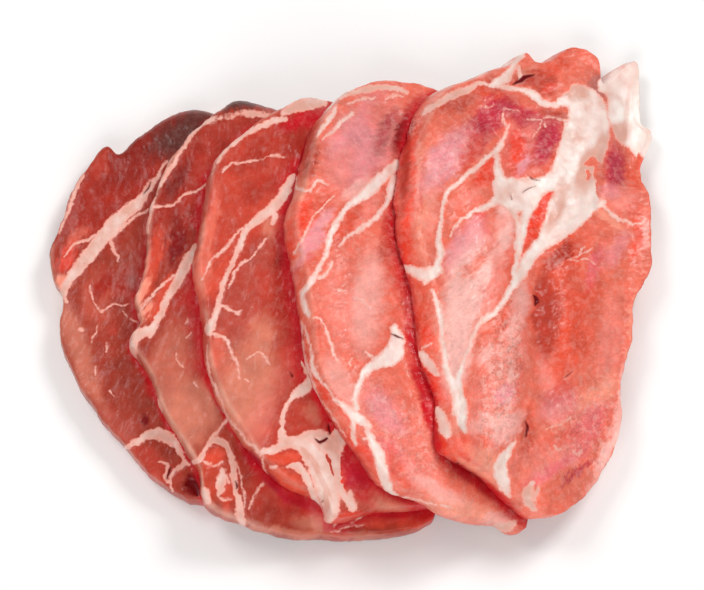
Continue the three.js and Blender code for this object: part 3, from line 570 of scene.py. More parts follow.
# %% Ovals of tone: across, down, half length, half breadth, turn in degrees, tone, strength
OVALS = {
    "slice_1": [
        (112, 190, 85, 42, 50, "deep", 0.9), (155, 140, 70, 22, 40, "maroon", 0.7),
        (188, 128, 46, 17, 38, "dusk", 0.9), (100, 160, 22, 9, 60, "brick", 0.7),
        (75, 240, 16, 8, 55, "salmon", 0.6), (66, 260, 14, 9, 55, "orange", 0.75),
        (62, 280, 10, 8, 0, "peach", 0.8), (80, 350, 70, 13, -68, "tan", 0.7),
        (95, 300, 16, 34, 0, "salmon", 0.35), (101, 284, 18, 10, 60, "deep", 1.0),
        (124, 286, 20, 11, 50, "deep", 0.75), (137, 285, 10, 12, 60, "mauve", 0.7),
        (150, 240, 40, 14, 60, "brick", 0.4), (113, 329, 8, 6, 0, "brick", 0.8),
        (145, 370, 45, 7, -70, "deep", 0.35), (118, 425, 30, 12, -40, "clay", 0.7),
        (144, 422, 5, 3, 60, "garnet", 0.9), (150, 465, 34, 16, -40, "brick", 0.95),
        (178, 475, 8, 12, 30, "brick", 0.9), (142, 480, 40, 6, -42, "tan", 0.6),
        # the garnet oval below is painted shade in the gap beside the next slice's edge
        (194, 486, 11, 12, 0, "garnet", 1.0),
    ],
    "slice_2": [
        (195, 190, 95, 36, 62, "deep", 0.9), (235, 125, 45, 16, 20, "brick", 0.5),
        (245, 102, 40, 9, 5, "dusk", 1.0), (176, 180, 24, 9, 60, "maroon", 0.9),
        (172, 228, 22, 8, 80, "maroon", 0.7), (176, 250, 24, 8, 80, "garnet", 0.9),
        (200, 175, 40, 12, 65, "brick", 0.5), (152, 265, 50, 9, 72, "coral", 0.7),
        (160, 302, 30, 8, 58, "coral", 0.9), (143, 314, 18, 5, 58, "peach", 0.9),
        (142, 290, 20, 5, 70, "peach", 0.8), (186, 300, 45, 14, 65, "brick", 0.6),
        (172, 365, 60, 26, 70, "tan", 0.5), (192, 410, 42, 30, 75, "tan", 0.95),
        (198, 350, 30, 12, 80, "clay", 0.8), (204, 480, 45, 20, 60, "coral", 0.5),
        (215, 455, 16, 10, 30, "coral", 0.8), (228, 495, 30, 8, 75, "coral", 0.6),
        (290, 495, 75, 30, -20, "brick", 0.95), (250, 463, 24, 12, -45, "deep", 0.6),
        (285, 515, 60, 10, -12, "deep", 0.4), (380, 520, 60, 12, 0, "coral", 0.8),
        (320, 522, 30, 9, -8, "tan", 0.8), (310, 533, 90, 5, -5, "tan", 0.7),
        # the two magenta ovals below are painted shade beside the next slice's edge
        (262, 468, 20, 7, -40, "magenta", 0.7), (278, 490, 18, 6, -45, "magenta", 0.7),
    ],
    "slice_3": [
        (240, 200, 95, 36, 65, "coral", 0.35), (270, 147, 50, 18, 30, "deep", 0.7),
        (306, 120, 34, 10, 14, "crimson", 1.0), (292, 155, 18, 10, 60, "deep", 0.8),
        (262, 185, 30, 12, 40, "deep", 0.6), (208, 240, 60, 9, 80, "salmon", 0.9),
        (202, 285, 34, 9, 85, "salmon", 0.7), (218, 278, 24, 9, 70, "coral", 0.7),
        (272, 226, 14, 10, 60, "tan", 0.8), (256, 262, 30, 10, 65, "clay", 0.7),
        (284, 275, 62, 14, 86, "deep", 0.95), (284, 253, 24, 8, 80, "garnet", 0.85),
        (235, 318, 40, 24, 80, "clay", 0.6), (218, 350, 26, 10, 80, "salmon", 0.7),
        (245, 390, 66, 34, 75, "tan", 0.95), (262, 345, 36, 12, 85, "tan", 0.8),
        (262, 420, 34, 18, 70, "rose", 0.35), (288, 370, 40, 8, 80, "clay", 0.8),
        (303, 414, 24, 20, -30, "brick", 0.95), (318, 412, 14, 14, 0, "tan", 0.6),
        (281, 456, 20, 8, -10, "coral", 0.95), (292, 486, 30, 15, -40, "coral", 0.95),
        (343, 478, 22, 4, 88, "orange", 0.9), (395, 500, 55, 16, -5, "tan", 0.9),
        # the crimson and magenta ovals below are painted shade beside the next slice's edge
        (360, 488, 26, 12, -60, "crimson", 0.8), (350, 470, 20, 8, -70, "magenta", 0.7),
        (340, 520, 30, 8, 0, "orange", 0.5),
    ],
    "slice_4": [
        (295, 268, 28, 5, 84, "peach", 0.8), (365, 140, 60, 34, 60, "lilac_sheen", 0.75),
        # the mauve oval below and the magenta one after it are painted shade beside the next slice's edge
        (390, 110, 30, 20, 20, "salmon", 0.7), (387, 132, 30, 11, 60, "mauve", 0.8),
        (388, 128, 24, 6, 60, "magenta", 0.5), (308, 155, 40, 11, 75, "brick", 0.9),
        (300, 185, 16, 7, 75, "peach", 0.7), (308, 158, 26, 8, 70, "brick", 0.5),
        (337, 175, 36, 14, 60, "rose", 0.6), (354, 187, 20, 7, 40, "blush", 0.7),
        (318, 205, 26, 12, 55, "coral", 0.8), (298, 226, 40, 11, 75, "orange", 0.9),
        (312, 245, 44, 9, 60, "lilac_sheen", 0.8), (345, 225, 30, 12, 50, "coral", 0.8),
        (368, 210, 24, 8, 55, "rose", 0.8), (305, 272, 26, 9, 60, "coral", 0.6),
        (350, 300, 60, 36, 80, "rose", 0.75), (355, 270, 30, 16, 60, "salmon", 0.6),
        (368, 300, 56, 18, 88, "blush", 0.6), (312, 345, 34, 9, 78, "coral", 0.7),
        (325, 345, 30, 8, 80, "salmon", 0.7), (342, 385, 36, 14, -60, "blush", 0.5),
        (333, 400, 40, 7, -52, "orange", 0.85), (362, 450, 34, 8, -55, "orange", 0.9),
        (395, 430, 70, 34, -60, "rose", 0.6), (385, 410, 30, 16, -50, "lilac_sheen", 0.6),
        (400, 400, 30, 14, -60, "salmon", 0.5), (392, 460, 30, 16, -40, "pink", 0.35),
        (420, 478, 40, 18, -30, "rose", 0.6), (402, 478, 34, 8, -65, "coral", 0.75),
        (455, 505, 50, 10, -12, "peach", 0.7), (440, 490, 40, 9, -25, "blush", 0.6),
        (475, 510, 34, 9, -15, "peach", 0.7), (410, 495, 30, 5, -10, "coral", 0.5),
        (500, 519, 20, 8, 0, "blush", 0.7), (396, 212, 62, 8, 84, "brick", 0.8),
        (384, 242, 26, 8, 80, "brick", 0.6),
    ],
    "slice_5": [
        (408, 200, 100, 10, 86, "orange", 0.95), (404, 190, 28, 6, 80, "mauve", 0.35),
        (416, 138, 28, 6, 72, "orange", 0.95), (424, 290, 40, 9, -68, "coral", 0.9),
        (423, 325, 28, 10, -75, "coral", 0.9), (430, 338, 16, 7, -60, "orange", 0.9),
        # the crimson oval on the line below is painted shade at the left edge
        (440, 385, 30, 9, -62, "orange", 0.98), (432, 400, 30, 7, -68, "crimson", 0.6),
        (430, 200, 60, 9, 84, "peach", 0.75), (419, 170, 70, 3, 84, "blush", 0.3),
        (440, 118, 34, 12, 40, "salmon", 0.8), (470, 98, 50, 12, 25, "brick", 0.75),
        (497, 98, 22, 9, -10, "coral", 0.9), (470, 130, 34, 14, 50, "coral", 0.6),
        (490, 116, 32, 14, 40, "magenta", 0.9), (480, 144, 34, 9, 48, "magenta", 0.6),
        (468, 158, 30, 6, 45, "coral", 0.5), (445, 160, 44, 15, 55, "lilac_sheen", 0.8),
        (432, 215, 34, 8, 84, "rose", 0.6), (486, 172, 20, 9, 45, "orange", 0.9),
        (466, 197, 22, 9, 40, "rose", 0.75), (430, 250, 26, 8, 84, "salmon", 0.7),
        (530, 140, 40, 30, 70, "magenta", 0.45), (515, 150, 26, 8, 84, "orange", 0.85),
        (548, 140, 28, 14, 70, "magenta", 0.95), (522, 115, 30, 10, -20, "magenta", 0.8),
        (556, 162, 16, 7, 60, "coral", 0.8), (522, 164, 14, 6, 60, "lilac_sheen", 0.8),
        (530, 128, 14, 9, 60, "rose", 0.5), (534, 76, 24, 8, 10, "brick", 0.95),
        (524, 70, 10, 5, 20, "tan", 0.6), (545, 85, 14, 12, 0, "brick", 0.9),
        (548, 88, 8, 6, 0, "orange", 0.6), (563, 62, 26, 12, 25, "coral", 0.9),
        (580, 58, 22, 10, -20, "salmon", 0.8), (563, 80, 9, 14, 0, "salmon", 0.9),
        (597, 84, 14, 11, -50, "mauve", 0.9), (553, 112, 18, 5, -5, "brick", 0.7),
        (536, 220, 46, 10, 64, "orange", 0.98), (552, 206, 30, 5, 64, "peach", 0.7),
        (484, 234, 30, 8, -66, "orange", 0.95), (492, 262, 34, 5, -78, "coral", 0.8),
        (505, 228, 36, 11, 86, "blush", 0.95), (500, 225, 16, 8, 40, "coral", 0.4),
        (465, 245, 34, 15, 60, "lilac_sheen", 0.8), (470, 285, 60, 26, 72, "blush", 0.95),
        (457, 345, 60, 16, 84, "blush", 0.95), (478, 260, 26, 9, 55, "salmon", 0.8),
        (493, 288, 30, 9, 72, "rose", 0.8), (508, 262, 20, 5, 88, "coral", 0.6),
        (517, 312, 36, 11, 78, "blush", 0.75), (500, 330, 34, 10, 62, "coral", 0.7),
        (487, 352, 34, 15, 75, "salmon", 0.8), (486, 352, 14, 8, 40, "blush", 0.7),
        (503, 382, 60, 20, 82, "petal", 0.3), (503, 392, 16, 10, 40, "lilac_sheen", 0.7),
        (480, 400, 40, 12, 84, "rose", 0.7), (518, 375, 40, 5, 86, "coral", 0.5),
        (524, 330, 40, 8, 86, "rose", 0.4), (507, 430, 24, 12, 50, "petal", 0.75),
        (490, 422, 26, 10, 20, "blush", 0.6), (465, 450, 34, 16, -5, "orange", 0.95),
        (449, 446, 12, 8, 0, "orange", 0.9), (488, 458, 26, 12, -38, "peach", 0.85),
        (480, 474, 34, 5, -38, "peach", 0.8), (565, 300, 85, 36, 80, "coral", 0.9),
        (545, 318, 60, 10, 88, "deep", 0.65), (541, 302, 28, 7, 86, "brick", 0.95),
        (552, 318, 34, 12, 84, "brick", 0.7), (563, 255, 20, 8, 40, "deep", 0.8),
        (600, 250, 50, 14, 60, "salmon", 0.6), (606, 218, 26, 5, -30, "peach", 0.8),
        (597, 268, 30, 9, 70, "pink", 0.45), (618, 250, 24, 8, 70, "lilac_sheen", 0.5),
        (637, 238, 26, 8, 86, "orange", 0.6), (600, 320, 60, 16, 80, "salmon", 0.7),
        (590, 300, 30, 12, 60, "coral", 0.5), (608, 345, 60, 14, 82, "rose", 0.7),
        (575, 350, 40, 14, 60, "coral", 0.6), (548, 390, 40, 9, -76, "rose", 0.8),
        (560, 395, 20, 12, 30, "magenta", 0.35), (562, 408, 26, 12, 30, "lilac_sheen", 0.35),
        (597, 395, 30, 16, 50, "peach", 0.7), (586, 430, 40, 18, 55, "pink", 0.4),
        (545, 460, 44, 22, 30, "rose", 0.8), (558, 440, 30, 8, 20, "coral", 0.5),
        (555, 470, 40, 7, 30, "pink", 0.4), (577, 474, 26, 4, 42, "magenta", 0.75),
        (606, 456, 46, 8, 62, "blush", 0.95), (621, 400, 46, 5, 86, "blush", 0.7),
        (630, 330, 50, 4, 84, "peach", 0.6), (643, 232, 24, 5, 86, "blush", 0.7),
        (565, 498, 44, 8, 38, "salmon", 0.8), (528, 432, 30, 7, 84, "brick", 0.6),
        (524, 476, 26, 10, 60, "salmon", 0.6), (615, 165, 26, 12, 86, "magenta", 0.98),
        (634, 172, 26, 11, 84, "coral", 0.8), (628, 198, 24, 16, 0, "rose", 0.9),
        (636, 208, 14, 8, 60, "coral", 0.6), (610, 190, 12, 9, 0, "lilac_sheen", 0.5),
        (646, 190, 30, 5, 88, "salmon", 0.7),
    ],
}
print("ovals of tone:", {name: len(places) for name, places in OVALS.items()})

# %% Laying an oval, and a glaze
OVAL_CORE, OVAL_END = 0.45, 1.25  # shares of its size, between which an oval fades


def oval(u, v, across, down, length, breadth, turn):
    """1 inside a soft-edged oval and 0 outside."""
    c, s = np.cos(np.radians(turn)), np.sin(np.radians(turn))
    du, dv = u - across, down - v
    away = np.hypot((du * c + dv * s) / length, (dv * c - du * s) / breadth)
    return 1 - smoothstep(OVAL_CORE, OVAL_END, away)


def linear_values(code):
    """The three linear values of an sRGB hex colour, by the formula of that standard."""
    parts = np.array([int(code[k:k + 2], 16) / 255 for k in (1, 3, 5)])
    return np.where(parts <= 0.04045, parts / 12.92, ((parts + 0.055) / 1.055) ** 2.4)


def glaze(colour, share, tone):
    """A colour with a share of a tone laid over it."""
    share = share[:, None]
    return colour * (1 - share) + linear_values(TONES[tone]) * share


print("salmon in linear values:", linear_values(TONES["salmon"]).round(2))

# %% [markdown]
# ## Where slices meet
# A slice keeps air and light off the one below, so the meat beside its edge and low on its own
# side is crimson, partly meat that stays so without air and partly painted shade. Where the gap is
# deeper, ovals of painted shade lie across both slices. At the left edges, where the skin meets the
# face, a narrow pale rim is a painted highlight.

# %% Painted shade in the gaps: across, down, half length, half breadth, turn in degrees, tone, strength
GAP_SHADES = [
    (404, 129, 30, 9, 70, "garnet", 1.0), (405, 172, 34, 6, 84, "deep", 0.8),
    (411, 340, 18, 5, -75, "crimson", 0.9), (422, 384, 32, 8, -64, "crimson", 0.95),
    (429, 414, 28, 7, -72, "crimson", 1.0), (437, 443, 12, 6, -66, "crimson", 1.0),
    (463, 472, 16, 6, -40, "wine", 0.8), (490, 491, 34, 7, -35, "crimson", 0.9),
    (297, 152, 30, 5, 75, "deep", 0.85), (253, 459, 14, 6, -40, "wine", 0.9),
    (272, 482, 14, 6, -45, "wine", 0.9), (300, 502, 22, 5, -22, "wine", 0.9),
    (362, 474, 15, 8, -55, "wine", 0.85), (386, 515, 24, 3, -3, "crimson", 0.9),
    (193, 482, 9, 9, 0, "garnet", 1.0),
]
print(len(GAP_SHADES), "gaps")

# %% Colour of the lean
FRAY, FRAY_LENGTH, FRAY_WIDTH = 2.0, 3.0, 0.9  # pixels sideways; mm along and across fibres
WANDER, WANDER_SIZE = 3.5, 30  # pixels, of an oval's uneven edge
# The pale rim is a painted highlight along the top of the left sides.
EDGE_HIGHLIGHT = dict(zip(NAMES, (0.3, 0.5, 0.4, 0.2, 0.2)))  # strength of the pale rim
EDGE_HIGHLIGHT_WIDTH = 0.9  # mm
EDGE_HIGHLIGHT_SIDE = 0.1, -0.4  # half widths right of the middle, from no rim to the full one
EDGE_HIGHLIGHT_RISE = 0.5, 0.9  # shares of the thickness, in the same way
EDGE_HIGHLIGHT_SHARE, EDGE_HIGHLIGHT_SWING, EDGE_HIGHLIGHT_PATCH = 0.7, 0.6, 22  # and pixels: the rim is patchy
# The crimson beside the next slice's edge and low on a side is partly meat kept from the air and partly
# painted shade.
CONTACT_SHADE_REACH = dict(zip(NAMES, (1.6, 2.8, 3.2, 2.6)))  # mm of crimson beside an edge
LEAST_CONTACT_SHADE, CONTACT_SHADE_SWING, CONTACT_SHADE_PATCH = 0.3, 0.8, 45  # and pixels: its reach varies
CONTACT_SHADE_TOP, CONTACT_SHADE_SIDE = 0.95, 0.8  # strength on the face and on the side
CONTACT_SHADE_INSIDE = 4, -3  # mm past the lower slice's edge, from no crimson to the full one
CONTACT_SHADE_RISE = 0.35, 0.05  # shares of the thickness, in the same way


def lean_colour(name, x, y, rise, u, v):
    """The colour of the lean: the slice's ovals and the gaps' painted shade over the ground, the pale
    rim, a painted highlight, and crimson where two slices touch, partly meat kept from the air and
    partly painted shade. Rim and crimson fade with the square of the distance from an edge, and
    crimson on a side with the height above the face of the slice below."""
    fray = FRAY * streaks(name, u, v, FRAY_LENGTH, FRAY_WIDTH, layer=1)
    wu = u + WANDER * rough(u, v, WANDER_SIZE, layer=6) + fray
    wv = v + WANDER * rough(u, v, WANDER_SIZE, layer=7) + fray
    colour = np.ones((len(x), 1)) * linear_values(TONES[GROUND[name]])
    # the ovals of the gaps are painted shade
    for places, pu, pv in ((OVALS[name], wu, wv), (GAP_SHADES, u + fray, v + fray)):
        for *place, tone, strength in places:
            colour = glaze(colour, strength * oval(pu, pv, *place), tone)

    shape, index = SLICES[name], NAMES.index(name)
    plan_x = x - shape["lean"] * rise
    inset = np.maximum(0, -past_outline(name, plan_x, y)) / EDGE_HIGHLIGHT_WIDTH
    left = smoothstep(*EDGE_HIGHLIGHT_SIDE, (plan_x - shape["centre"][0]) / shape["half"][0])
    patchy = np.clip(EDGE_HIGHLIGHT_SHARE + EDGE_HIGHLIGHT_SWING * rough(u, v, EDGE_HIGHLIGHT_PATCH, layer=5), 0, 1)
    share = EDGE_HIGHLIGHT[name] * left * patchy * np.exp(-inset * inset) * smoothstep(*EDGE_HIGHLIGHT_RISE, rise)
    # painted highlight: the pale rim
    colour = glaze(colour, share, "rim")
    if index + 1 < len(NAMES):
        swing = np.maximum(LEAST_CONTACT_SHADE, 1 + CONTACT_SHADE_SWING * rough(u, v, CONTACT_SHADE_PATCH, layer=4))
        away = np.maximum(0, past_outline(NAMES[index + 1], x, y)) / (CONTACT_SHADE_REACH[name] * swing)
        # crimson beside the next slice's edge: partly meat kept from the air, partly painted shade
        colour = glaze(colour, CONTACT_SHADE_TOP * np.exp(-away * away), "crimson")
    if index > 0:
        below = NAMES[index - 1]
        inside = smoothstep(*CONTACT_SHADE_INSIDE, past_outline(below, x - SLICES[below]["lean"], y))
        # crimson low on the side that rests on the slice below: painted shade under the edge, partly meat
        # kept from the air
        colour = glaze(colour, CONTACT_SHADE_SIDE * inside * smoothstep(*CONTACT_SHADE_RISE, rise), "crimson")
    return colour


print("crimson reaches", CONTACT_SHADE_REACH, "mm")

# %% [markdown]
# ## Tones of the fat
# Fresh fat is cream white, but the seams of the lower slices are stained pink, and so are thin
# places and edges. Each slice has a share of that pink, and ovals add to it or take from it.

# %% Pinker places in the fat: across, down, half length, half breadth, turn, share
VEIL = dict(zip(NAMES, (0.9, 0.85, 0.75, 0.3, 0.36)))
VEIL_SWING, VEIL_PATCH = 0.12, 14  # unevenness of the share, and its size in pixels
VEILS = {
    "slice_2": [(245, 108, 30, 14, 0, 0.3)],
    "slice_3": [
        (300, 104, 30, 12, 0, 0.2), (325, 440, 14, 12, 0, 0.15), (310, 457, 14, 2.5, -48, 0.8),
        (322, 480, 20, 2.5, -62, 0.8), (338, 450, 13, 3, -80, 0.6), (326, 500, 14, 3, -85, 0.6),
    ],
    "slice_4": [(370, 90, 50, 10, 0, 0.6), (395, 172, 16, 12, 40, 0.4), (504, 526, 16, 9, 0, 0.7)],
    "slice_5": [
        (590, 168, 24, 14, 70, 0.9), (600, 150, 20, 6, 85, 0.5), (576, 92, 14, 10, 0, 0.7),
        (558, 208, 26, 7, 66, 0.5), (620, 130, 24, 11, 40, 0.7), (606, 98, 14, 8, 60, 0.3),
        (628, 112, 30, 3, 84, 0.3), (441, 424, 20, 12, 60, 0.3), (445, 340, 50, 10, 84, 0.15),
        (452, 96, 40, 9, 28, 0.6), (520, 70, 16, 8, 50, 0.5), (512, 190, 24, 14, 20, 0.2),
        (531, 496, 16, 14, 0, 0.6), (566, 440, 40, 24, 0, 0.6), (514, 215, 10, 12, 0, 0.4),
        (582, 128, 26, 6, 70, 0.2), (560, 185, 20, 5, 60, 0.3), (636, 122, 12, 26, 0, -0.35),
        (540, 186, 22, 8, 30, -0.2),
    ],
}


def veil_share(name, u, v):
    """How pink and dull the fat is: a share for the slice, more or less in some places."""
    share = VEIL[name] + VEIL_SWING * rough(u, v, VEIL_PATCH, layer=3)
    for *place, more in VEILS.get(name, []):
        share = share + more * oval(u, v, *place)
    return np.clip(share, 0, 1)


print("pinker places:", sum(map(len, VEILS.values())))

# %% [markdown]
# ## The slice itself
# A slice is a slab with a crisp cut edge, so one surface can be carried round it. Its top
# face is a square grid bent into a disc, which spreads the points evenly, and stretched to
# the outline. From the rim of that grid the surface goes down the side and in under the slice.
# Where the next slice hides most of a face, the grid's columns crowd to the side that shows.

# %% Shape of a slice
EDGE_ROUND = 1.4  # mm
TEAR, TEAR_SIZE = 0.6, 9  # mm in and out, and mm from one tear to the next


def edge_round(shape, x, y):
    """Rounding of the top edge: small, but large where the outer side turns over to the top."""
    rounded = np.full(x.shape, EDGE_ROUND)
    if "round_end" in shape:
        end = shape["round_end"]
        away = np.hypot(x - end["at"][0], y - end["at"][1]) / end["spread"]
        rounded = rounded + (end["radius"] - EDGE_ROUND) * np.exp(-away * away)
    return rounded


def outline_radius(shape, angle):
    """Radius of the outline, with the small raggedness of a knife cut."""
    radius = np.interp(angle, shape["angles"], shape["radii"], period=FULL_TURN)
    centre = shape["centre"]
    x, y = radius * np.cos(angle) + centre[0], radius * np.sin(angle) + centre[1]
    return radius + TEAR * rough(x, y, TEAR_SIZE, layer=2, octaves=4)


print("a knife cut is ragged by about", TEAR, "mm")

# %% The face as a grid
ROWS, COLUMNS = 330, 200
CROWD_SHARE = 0.8  # share of the columns that lie left of a place, given from -1 to 1
CROWD_PLACE = {"slice_1": 0.0, "slice_2": 0.0, "slice_3": -0.05, "slice_4": 0.05}


def disc_grid(crowd):
    """A square grid bent into a disc: on each side's quarter, the distance from the middle is the
    radius and the place along the side is the angle. Given a place to crowd to, most columns lie
    to the left of it."""
    a = np.linspace(-1, 1, COLUMNS)
    if crowd is not None:
        a = np.interp(a, [-1, 2 * CROWD_SHARE - 1, 1], [-1, crowd, 1])
    a, b = np.meshgrid(a, np.linspace(-1, 1, ROWS), indexing="ij")
    wide = np.abs(a) > np.abs(b)
    longer = np.where(wide, a, np.where(b == 0, 1, b))
    turn = np.pi / 4 * np.where(wide, b, a) / longer
    x = np.where(wide, a * np.cos(turn), b * np.sin(turn))
    y = np.where(wide, a * np.sin(turn), b * np.cos(turn))
    return x, y


print("grid of", COLUMNS, "by", ROWS, "points")

# %% The side and the underside
FOOT_ROUND, SIDE_BULGE = 0.7, 0.5  # mm
EDGE_RINGS, SIDE_RINGS = 5, 8
FOOT_PART = 0.3  # share of the foot's rounding that its one middle ring takes
UNDER_SHARES = (0.97, 0.9, 0.75, 0.55, 0.35, 0.17)  # of the radius, under the slice


def side_steps(rounded):
    """The side from the top face down: how far in, and how high as a share of the thickness.
    A quarter circle, a slightly swollen side and a small foot."""
    nothing = np.zeros_like(rounded)
    foot = FOOT_ROUND / THICK
    turn = np.linspace(0, np.pi / 2, EDGE_RINGS + 1)[1:, None]
    steps = list(zip(rounded * (1 - np.sin(turn)), 1 - rounded / THICK * (1 - np.cos(turn))))
    for share in np.linspace(0, 1, SIDE_RINGS + 1)[1:]:
        rise = (1 - rounded / THICK) * (1 - share) + foot * share
        steps.append((nothing - SIDE_BULGE * np.sin(np.pi * share), rise))
    steps.append((nothing + FOOT_PART * FOOT_ROUND, nothing + FOOT_PART * foot))
    steps.append((nothing + FOOT_ROUND, nothing))
    return steps


def slice_points(name):
    """All points of a slice in plan, with how high each is as a share of the thickness, and the
    faces that join them: the grid's squares, a belt of squares for each ring and a fan below."""
    shape = SLICES[name]
    centre, half = shape["centre"], shape["half"]
    gx, gy = disc_grid(CROWD_PLACE.get(name))
    angle = np.arctan2(half[1] * gy, half[0] * gx)
    radius = outline_radius(shape, angle)
    rim_x, rim_y = centre[0] + radius * np.cos(angle), centre[1] + radius * np.sin(angle)
    reach = np.hypot(gx, gy) * (radius - edge_round(shape, rim_x, rim_y))
    xs, ys = [centre[0] + reach * np.cos(angle)], [centre[1] + reach * np.sin(angle)]
    rises = [np.ones(gx.shape)]

    number = np.arange(COLUMNS * ROWS).reshape(COLUMNS, ROWS)
    loop = np.concatenate([number[:-1, 0], number[-1, :-1], number[:0:-1, -1], number[0, :0:-1]])
    angle, radius = angle.ravel()[loop], radius.ravel()[loop]
    rounded = edge_round(shape, rim_x.ravel()[loop], rim_y.ravel()[loop])
    rings = [(radius - inwards, rise) for inwards, rise in side_steps(rounded)]
    rings += [(part * (radius - FOOT_ROUND), np.zeros_like(radius)) for part in UNDER_SHARES]
    for reach, rise in rings:
        xs.append(centre[0] + reach * np.cos(angle))
        ys.append(centre[1] + reach * np.sin(angle))
        rises.append(rise)
    xs.append(centre[:1])
    ys.append(centre[1:])
    rises.append(np.zeros(1))

    corners = [number[:-1, :-1], number[1:, :-1], number[1:, 1:], number[:-1, 1:]]
    quads = [np.stack(corners, -1).reshape(-1, 4)]
    upper, first = loop, COLUMNS * ROWS
    for ring in range(len(rings)):
        lower = first + ring * len(loop) + np.arange(len(loop))
        quads.append(np.stack([upper, lower, np.roll(lower, -1), np.roll(upper, -1)], -1))
        upper = lower
    pole = np.full(len(loop), first + len(rings) * len(loop))
    fan = np.stack([upper, pole, np.roll(upper, -1)], -1)
    flat = [np.concatenate([np.ravel(part) for part in parts]) for parts in (xs, ys, rises)]
    return *flat, np.concatenate(quads), fan


print(EDGE_RINGS + SIDE_RINGS + 2, "rings down the side,", len(UNDER_SHARES), "below")

# %% [markdown]
# ## Relief of a cut face
# The knife leaves the face nearly flat, and then each muscle swells a little and the fat between
# them stays firm and lower. The topmost slice also has a crease down its large muscle, a fold at
# the lower left, a lobe that stands up at the top and a thin flap of fat at the upper right.

# %% Relief
VALLEYS = {  # routes in photograph pixels, depth and width in mm
    "slice_5": [
        ([(535, 285), (533, 315), (535, 345), (540, 370), (549, 394)], 2.6, 5.0),
        ([(515, 330), (520, 370), (526, 425)], 0.5, 3.0),
        ([(634, 84), (640, 130), (634, 165)], 6.0, 9.0),
        ([(500, 436), (478, 428), (452, 427)], 1.0, 1.4),
        ([(606, 150), (603, 185), (598, 205)], 1.0, 1.6),
    ],
}
SWELLINGS = {  # place in photograph pixels, height and spread in mm
    "slice_5": [
        ((580, 315), 2.0, 20.0), ((565, 72), 1.8, 9.0), ((464, 452), 2.4, 7.0),
        ((618, 172), 1.0, 7.0), ((628, 205), 0.8, 6.0), ((535, 140), 0.8, 8.0), ((490, 360), 0.8, 12.0),
        ((550, 430), 0.8, 10.0), ((455, 150), 0.6, 12.0),
    ],
}
LUMPS = dict(zip(NAMES, (0.08, 0.08, 0.09, 0.13, 0.2)))  # mm
LUMP_LENGTH, LUMP_WIDTH = 4.5, 2.0  # mm along and across the fibres
KNOB_SIZE, KNOB_SHARE = 6.5, 0.7  # pixels, of the lumps that don't follow the fibres
FAT_SINK, FAT_BANK = 0.4, (-1.6, 0.4)  # mm that fat lies lower, and depths where that begins, ends
CUT_SINK, CUT_BANK = 0.7, (-0.8, 0.5)
WAVES, WAVE_SIZE = 0.25, 30  # mm high, and pixels across
BELL_END = 2.5  # widths, past which a bell shape is as good as flat


def relief(name, u, v, fat, cut):
    """Height above the plain top face: low along fat and cuts, lumpy over the lean, with
    the creases and swellings of the topmost slice, each a bell shape across."""
    height = -FAT_SINK * smoothstep(*FAT_BANK, fat) - CUT_SINK * smoothstep(*CUT_BANK, cut)
    height = height + WAVES * rough(u, v, WAVE_SIZE, layer=1) - WAVES
    lumps = streaks(name, u, v, LUMP_LENGTH, LUMP_WIDTH, layer=5)
    knobs = KNOB_SHARE * rough(u, v, KNOB_SIZE, layer=3, octaves=2)
    height = height + LUMPS[name] * (lumps + knobs)
    for route, depth, width in VALLEYS.get(name, []):
        placed = np.column_stack([route, np.zeros(len(route))])
        far = BELL_END * width / MM_PER_PIXEL
        away = depth_into_route(u, v, placed, far) * MM_PER_PIXEL / width
        height = height - depth * np.exp(-away * away)
    for (across, down), tall, spread in SWELLINGS.get(name, []):
        away = np.hypot(u - across, v - down) * MM_PER_PIXEL / spread
        height = height + tall * np.exp(-away * away)
    return height


print("creases:", len(VALLEYS["slice_5"]), " swellings:", len(SWELLINGS["slice_5"]))

# %% [markdown]
# ## How grainy the meat looks
# Pale threads and mottling lie over the lean of the two upper slices, most of all over the long
# pale muscle of the topmost one. In the gaps there is too little light to see them. The far sides,
# which the photograph doesn't show, are the outside of the joint, so patches of a thin fatty skin
# cover them.

# %% Grain and skin
GRAIN = dict(zip(NAMES, (0.1, 0.1, 0.15, 0.4, 0.4)))
GRAINS = {  # ovals in photograph pixels, and how much more grain there is
    "slice_4": [(400, 430, 70, 26, -55, 0.4)],
    "slice_5": [
        (501, 382, 78, 21, 82, 1.1), (465, 300, 70, 24, 75, 0.4), (590, 420, 50, 34, 60, 0.4),
        (450, 155, 50, 14, 58, 0.4), (545, 305, 40, 13, 86, -0.35),
    ],
}
GAP_SMOOTHS = 0.8  # share of the grain that is lost in a gap
SKIN_DEPTH, SKIN_SHARE, SKIN_BARE = 1.2, 0.3, 0.6  # mm deep, the share covered, mm where bare
SKIN_PATCH, SKIN_SHIFT = 12, 3  # mm, of its patches, and how they shift down the side
FAR_X, FAR_Y = 0.5, 0.85  # direction of the far side, seen from above
FAR_SIDE, SKIN_RISE = (0.1, 0.6), (0.8, 0.5)


def grain_share(name, u, v):
    """How much the fibres show: a share for the slice, more or less in some places."""
    share = np.full(u.shape, GRAIN[name])
    for *place, more in GRAINS.get(name, []):
        share = share + more * oval(u, v, *place)
    for *place, _, _ in GAP_SHADES:
        share = share * (1 - GAP_SMOOTHS * oval(u, v, *place))
    return share


def skin_depth(name, x, y, rise):
    """Depth into the fatty skin: a noise, on the far sides and below the top edge."""
    centre = SLICES[name]["centre"]
    turn = np.arctan2(y - centre[1], x - centre[0])
    far_side = smoothstep(*FAR_SIDE, FAR_X * np.cos(turn) + FAR_Y * np.sin(turn))
    patches = SKIN_SHARE + rough(x + SKIN_SHIFT * rise, y, SKIN_PATCH, layer=4)
    return SKIN_DEPTH * patches * far_side * smoothstep(*SKIN_RISE, rise) - SKIN_BARE


print("grainier places:", sum(map(len, GRAINS.values())))

